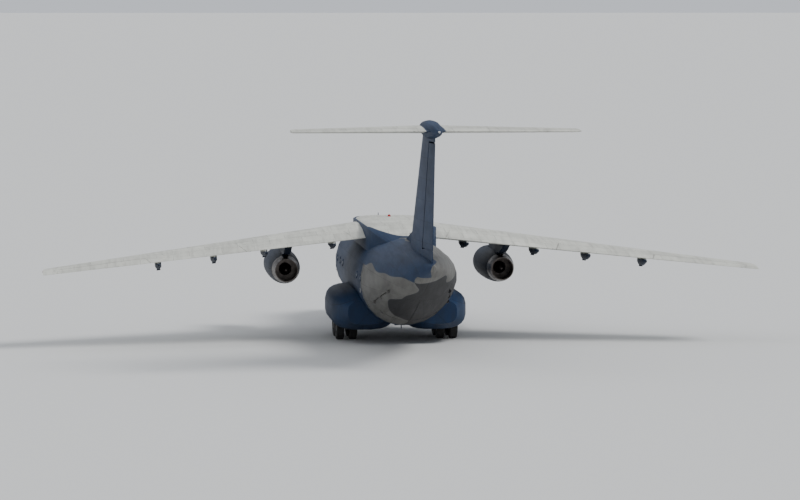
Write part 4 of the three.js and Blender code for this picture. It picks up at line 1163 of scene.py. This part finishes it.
class PLANE_OT_wheels(bpy.types.Operator):
    """Builds the four main pairs of wheels and the nose pair"""

    bl_idname = "plane.wheels"
    bl_label = "Wheels"

    def execute(self, context):
        for side, sign in SIDES.items():
            for end, shift in (("front", -BOGIE_HALF), ("rear", BOGIE_HALF)):
                build_wheels(f"main_wheels_{end}_{side}", MAIN_TYRE, HALF_TRACK * sign,
                             MAIN_GEAR_AFT + shift)
        build_wheels("nose_wheels", NOSE_TYRE, 0, NOSE_GEAR_AFT)
        return {"FINISHED"}


def torque_links(x, aft, low, high, reach):
    """Two links that meet behind a leg, one from its upper end and one from its lower end"""
    back, knee = at(aft) + 0.06, Vector((x, at(aft) + reach, (low + high) / 2))
    pin = Vector((0.04, 0, 0))
    return [rod((x, back, high), knee, 0.022), rod(knee, (x, back, low), 0.022),
            rod(knee - pin, knee + pin, 0.02)]


class PLANE_OT_legs(bpy.types.Operator):
    """Dresses the landing gear legs, with their sliding tubes, torque links and taxi lamp"""

    bl_idname = "plane.legs"
    bl_label = "Landing gear legs"

    def execute(self, context):
        def casting(node):
            dressed(node, "leg_paint", angle=40, name=f"{node}_casting")

        for side, sign in SIDES.items():
            x = HALF_TRACK * sign
            casting(f"main_leg_{side}")
            tube = rod((x, at(MAIN_GEAR_AFT), 0.68), (x, at(MAIN_GEAR_AFT), 1.02), 0.062)
            placed(tube, f"main_tube_{side}", "chrome_rod")
            placed(torque_links(x, MAIN_GEAR_AFT, 0.69, 1.06, 0.22), f"main_links_{side}",
                   "leg_paint")
        casting("nose_leg")
        casting("nose_strut")
        strut = BODY_OF["nose_strut"]
        placed(torque_links(0, NOSE_GEAR_AFT, 0.58, 1.05, 0.2), "nose_links", "leg_paint",
               strut)
        y, height = at(NOSE_GEAR_AFT), 0.94
        bowl = [(0, 0.07), (0.05, 0.06), (0.075, 0.0), (0.066, 0.0), (0.06, 0.01), (0, 0.01)]
        housing = [turned(bowl, (0, y - 0.19, height), sides=32),
                   rod((0, y - 0.13, height), (0, y, height), 0.018)]
        placed(housing, "taxi_lamp_housing", "leg_paint", strut)
        lens = dome((0, y - 0.185, height), (0.06, 0.014, 0.06), (0, -1, 0))
        placed(lens, "taxi_lamp_lens", "white_lens", strut)
        return {"FINISHED"}


class PLANE_OT_portholes(bpy.types.Operator):
    """Sets the cabin's round windows and their frames"""

    bl_idname = "plane.portholes"
    bl_label = "Portholes"

    def execute(self, context):
        radius = settings().porthole_radius
        pane = [(0, 0.006), (radius, 0.006), (radius, -0.03), (0, -0.03)]
        ring = [(radius, 0.006), (radius + 0.012, 0.016), (radius + 0.03, 0.006),
                (radius + 0.03, -0.03), (radius, -0.03)]
        panes, rings = [], []
        for aft in (5.6, 7.0, 8.4, 15.1, 16.775):
            place = on_side(aft, 3.0)
            turn = hull_direction(place).to_track_quat("Z", "Y").to_matrix().to_4x4()
            matrix = Matrix.Translation(place) @ turn
            panes.append(facing(turned(pane, (0, 0, 0), sides=32), matrix))
            rings.append(facing(turned(ring, (0, 0, 0), sides=32, closed=True), matrix))
        placed(both_sides(panes), "portholes", "window_glass")
        placed(both_sides(rings), "porthole_frames", "fin_paint")
        return {"FINISHED"}


def blade_antenna(aft, top, reach):
    """A flat blade: a cube whose outer face is drawn in and swept back"""
    base = on_top(aft, 0).z - 0.02 if top else hull_section(aft)[1] + 0.02
    lift = reach if top else -reach
    deselect_all()
    bpy.ops.mesh.primitive_cube_add(size=1, location=(0, at(aft), base + lift / 2),
                                    scale=(0.03, 0.3, reach))
    piece = settle(bpy.context.object)
    edited(piece)
    bpy.ops.mesh.select_mode(type="FACE")
    bpy.ops.mesh.select_all(action="DESELECT")
    object_mode()
    for face in piece.data.polygons:
        face.select = face.normal.z * lift > 0.9 * reach
    bpy.ops.object.mode_set(mode="EDIT")
    bpy.ops.transform.resize(value=(0.5, 0.45, 1), center_override=(0, at(aft), base + lift))
    bpy.ops.transform.translate(value=(0, 0.09, 0))
    bpy.ops.mesh.select_mode(type="VERT")
    object_mode()
    return rounded(piece, 0.008)


class PLANE_OT_antennas(bpy.types.Operator):
    """Adds the blade antennas, air-data probes, wipers and door handles"""

    bl_idname = "plane.antennas"
    bl_label = "Antennas and probes"

    def execute(self, context):
        blades = [blade_antenna(*blade) for blade in (
            (4.9, True, 0.3), (6.4, True, 0.26), (18.4, True, 0.3),
            (5.2, False, 0.24), (7.2, False, 0.2), (14.9, False, 0.22))]
        cover = dome(on_top(5.6, 0) - Vector((0, 0, 0.02)), (0.2, 0.42, 0.11), segments=32)
        placed([*blades, cover], "blade_antennas", "fin_paint")

        probes = []
        for aft, z in ((1.25, 2.62), (1.25, 2.38), (1.9, 2.2)):
            root = on_side(aft, z)
            knee = root + Vector((0.1, -0.03, 0))
            probes += [rod(root - Vector((0.02, 0, 0)), knee, 0.016, 0.012, 12),
                       rod(knee, knee + Vector((0, -0.2, 0)), 0.011, 0.007, 12)]
        placed(both_sides(probes), "air_data_probes", "blade_metal")

        stand = Vector((0, -0.01, 0.02))
        low = stand * 0.5
        wiper = [rod(on_top(1.42, 0.1), on_top(1.78, 0.3) + stand, 0.009, 0.007, 10),
                 rod(on_top(1.72, 0.12) + low, on_top(1.84, 0.48) + low, 0.009, sides=8)]
        placed(both_sides(wiper), "wipers", "seal_rubber")

        handle = cube((0.035, 0.2, 0.05), on_side(4.32, 2.35), round_off=0.012)
        placed(handle, "crew_door_handle", "leg_paint", BODY_OF["crew_door"], angle=None)
        latch = cube((0.035, 0.05, 0.2), on_side(16.5, 2.45), round_off=0.012)
        placed(both_sides(latch), "paratroop_door_handles", "leg_paint", angle=None)
        return {"FINISHED"}


def side_strip(node, aft, height, half_length, half_height, corner, width=0.014):
    """A flat strip around a door in the port side: two rounded loops, bridged and thickened"""
    skin = bpy.data.objects[f"{node}_skin"]
    bpy.context.view_layer.update()
    loops = []
    for inset in (0, width):
        corners = []
        for turn in range(24):
            angle = (turn + 0.5) / 24 * math.tau
            x, y = math.cos(angle), math.sin(angle)
            along = math.copysign(half_length - corner, x) + x * (corner - inset)
            rise = math.copysign(half_height - corner, y) + y * (corner - inset)
            corners.append(on_side(aft + along, height + rise))
        loop = []
        for before, after in zip(corners, [*corners[1:], corners[0]]):
            steps = max(1, round((after - before).length / 0.06))
            for step in range(steps):
                between = before.lerp(after, step / steps)
                outer = on_side(between.y + LENGTH / 2, between.z)
                _, place, normal, _ = skin.closest_point_on_mesh(outer)
                loop.append(place + normal * 0.001)
        loops.append(loop)
    piece = bridged(loops)
    object_mode()
    return thickened(piece, 0.006)


class PLANE_OT_door_seals(bpy.types.Operator):
    """Outlines the crew door and the paratroop doors with their rubber seals"""

    bl_idname = "plane.door_seals"
    bl_label = "Door seals"

    def execute(self, context):
        crew = side_strip("crew_door", 4.55, 2.32, 0.38, 0.855, 0.1)
        placed(crew, "crew_door_seal", "seal_rubber", BODY_OF["crew_door"], angle=None)
        door = side_strip("paratroop_door_left", 16.775, 2.68, 0.41, 0.9, 0.12)
        placed(both_sides(door), "paratroop_door_seals", "seal_rubber", angle=None)
        return {"FINISHED"}


class PLANE_OT_wicks(bpy.types.Operator):
    """Adds static wicks to the trailing edges of the ailerons and elevators"""

    bl_idname = "plane.wicks"
    bl_label = "Static wicks"

    def execute(self, context):
        length = Vector((0, settings().wick_length, 0))
        for side, sign in SIDES.items():
            for piece, (root, tip, _), level, droop, spans in (
                    ("aileron", WING, WING_HEIGHT, ANHEDRAL, (11.6, 12.7, 13.8, 14.6)),
                    ("elevator", TAIL, TAIL_HEIGHT, 0, (3.4, 4.3, 5.1))):
                wicks = []
                for span in spans:
                    edge, chord, _ = section_at(root, tip, span)
                    place = Vector((span * math.cos(droop) * sign, at(edge + chord - 0.03),
                                    level - span * math.sin(droop)))
                    wicks.append(rod(place, place + length, 0.008, 0.004, 8))
                placed(wicks, f"{piece}_wicks_{side}", "seal_rubber",
                       BODY_OF[f"{piece}_{side}"])
        return {"FINISHED"}


class PLANE_OT_lamps(bpy.types.Operator):
    """Adds the wing, beacon, tail and landing lamps"""

    bl_idname = "plane.lamps"
    bl_label = "Lamps"

    def execute(self, context):
        tip = 15.29
        for side, lens in (("left", "red_lens"), ("right", "green_lens")):
            sign = SIDES[side]
            place = Vector((tip * sign, at(15.05), WING_HEIGHT - tip * math.tan(ANHEDRAL) + 0.01))
            placed(dome(place, (0.05, 0.2, 0.05), (sign, 0, 0)), f"wing_lamp_{side}", lens)
        lower = (0, at(14.0), hull_section(14.0)[1] + 0.01)
        beacons = [dome((0, at(9.9), 5.14), (0.08, 0.12, 0.12)),
                   dome(lower, (0.08, 0.12, 0.1), (0, 0, -1))]
        placed(beacons, "beacons", "red_lens")
        tail = dome((0, at(28.94), TAIL_HEIGHT), (0.05, 0.08, 0.05), (0, 1, 0))
        placed(tail, "tail_lamp", "white_lens")
        place = (1.7, at(8.505), 1.33)
        lamp = dome(place, (0.115, 0.05, 0.115), (0, -1, 0))
        placed(both_sides(lamp), "landing_lamps", "white_lens")
        rim = turned([(0.11, 0.02), (0.11, -0.02), (0.12, -0.03), (0.14, -0.015), (0.145, 0.02)],
                     place, sides=40, closed=True)
        placed(both_sides(rim), "landing_lamp_rims", "rim_paint")
        return {"FINISHED"}


# Stage


class PLANE_OT_stage(bpy.types.Operator):
    """Sets the pale floor, the soft studio light and the camera behind the tail"""

    bl_idname = "plane.stage"
    bl_label = "Studio"

    def execute(self, context):
        deselect_all()
        bpy.ops.mesh.primitive_plane_add(size=16000, location=(0, 0, -0.002))
        floor = bpy.context.object
        floor.name = "floor"
        tone = settings().floor_tone
        new_material("pale_floor", Base_Color=(tone, tone, tone * 0.98, 1), Roughness=0.9)
        floor.data.materials.append(materials["pale_floor"])

        for name, direction, strength, softness in (("key", (-0.9, 0.5, 1.1), 2.4, 22),
                                                    ("fill", (0.9, 0.2, 0.9), 0.5, 50)):
            deselect_all()
            bpy.ops.object.light_add(type="SUN", location=Vector(direction) * 40,
                                     rotation=Vector(direction).to_track_quat("Z", "Y").to_euler())
            lamp = bpy.context.object
            lamp.name = name
            lamp.data.energy, lamp.data.angle = strength, math.radians(softness)
        world = bpy.data.worlds.new("soft sky")
        context.scene.world = world
        world.use_nodes = True
        background = world.node_tree.nodes["Background"].inputs
        background["Color"].default_value = (0.84, 0.88, 0.95, 1)
        background["Strength"].default_value = 0.78

        azimuth, elevation = math.radians(173.96), math.radians(4.28)
        distance, view_width = 140, 34.5
        back = Vector((math.sin(azimuth) * math.cos(elevation),
                       -math.cos(azimuth) * math.cos(elevation), math.sin(elevation)))
        deselect_all()
        bpy.ops.object.camera_add(location=Vector((0, 0, 4.0)) + back * distance,
                                  rotation=back.to_track_quat("Z", "Y").to_euler())
        camera = bpy.context.object
        camera.data.sensor_width = 36
        camera.data.lens = camera.data.sensor_width * distance / view_width
        camera.data.clip_end = 20000
        context.scene.camera = camera
        return {"FINISHED"}


OPERATORS = [
    PLANE_OT_materials, PLANE_OT_fuselage, PLANE_OT_wings, PLANE_OT_tail, PLANE_OT_cockpit,
    PLANE_OT_seats, PLANE_OT_hold, PLANE_OT_engines, PLANE_OT_fans, PLANE_OT_wheels,
    PLANE_OT_legs, PLANE_OT_portholes, PLANE_OT_antennas, PLANE_OT_door_seals, PLANE_OT_wicks,
    PLANE_OT_lamps, PLANE_OT_stage,
]


class PLANE_PT_sidebar(bpy.types.Panel):
    """Lists the settings and the pieces of the plane"""

    bl_idname = "PLANE_PT_sidebar"
    bl_label = "Transport plane"
    bl_space_type = "VIEW_3D"
    bl_region_type = "UI"
    bl_category = "Plane"

    def draw(self, context):
        for name in PlaneSettings.__annotations__:
            self.layout.prop(context.scene.plane_settings, name)
        for operator in OPERATORS:
            self.layout.operator(operator.bl_idname)


CLASSES = [PlaneSettings, *OPERATORS, PLANE_PT_sidebar]


def register():
    for item in CLASSES:
        bpy.utils.register_class(item)
    bpy.types.Scene.plane_settings = PointerProperty(type=PlaneSettings)


def unregister():
    del bpy.types.Scene.plane_settings
    for item in reversed(CLASSES):
        bpy.utils.unregister_class(item)


def main():
    register()
    for operator in OPERATORS:
        getattr(bpy.ops.plane, operator.bl_idname.split(".")[1])()
    deselect_all()


if __name__ == "__main__":
    main()
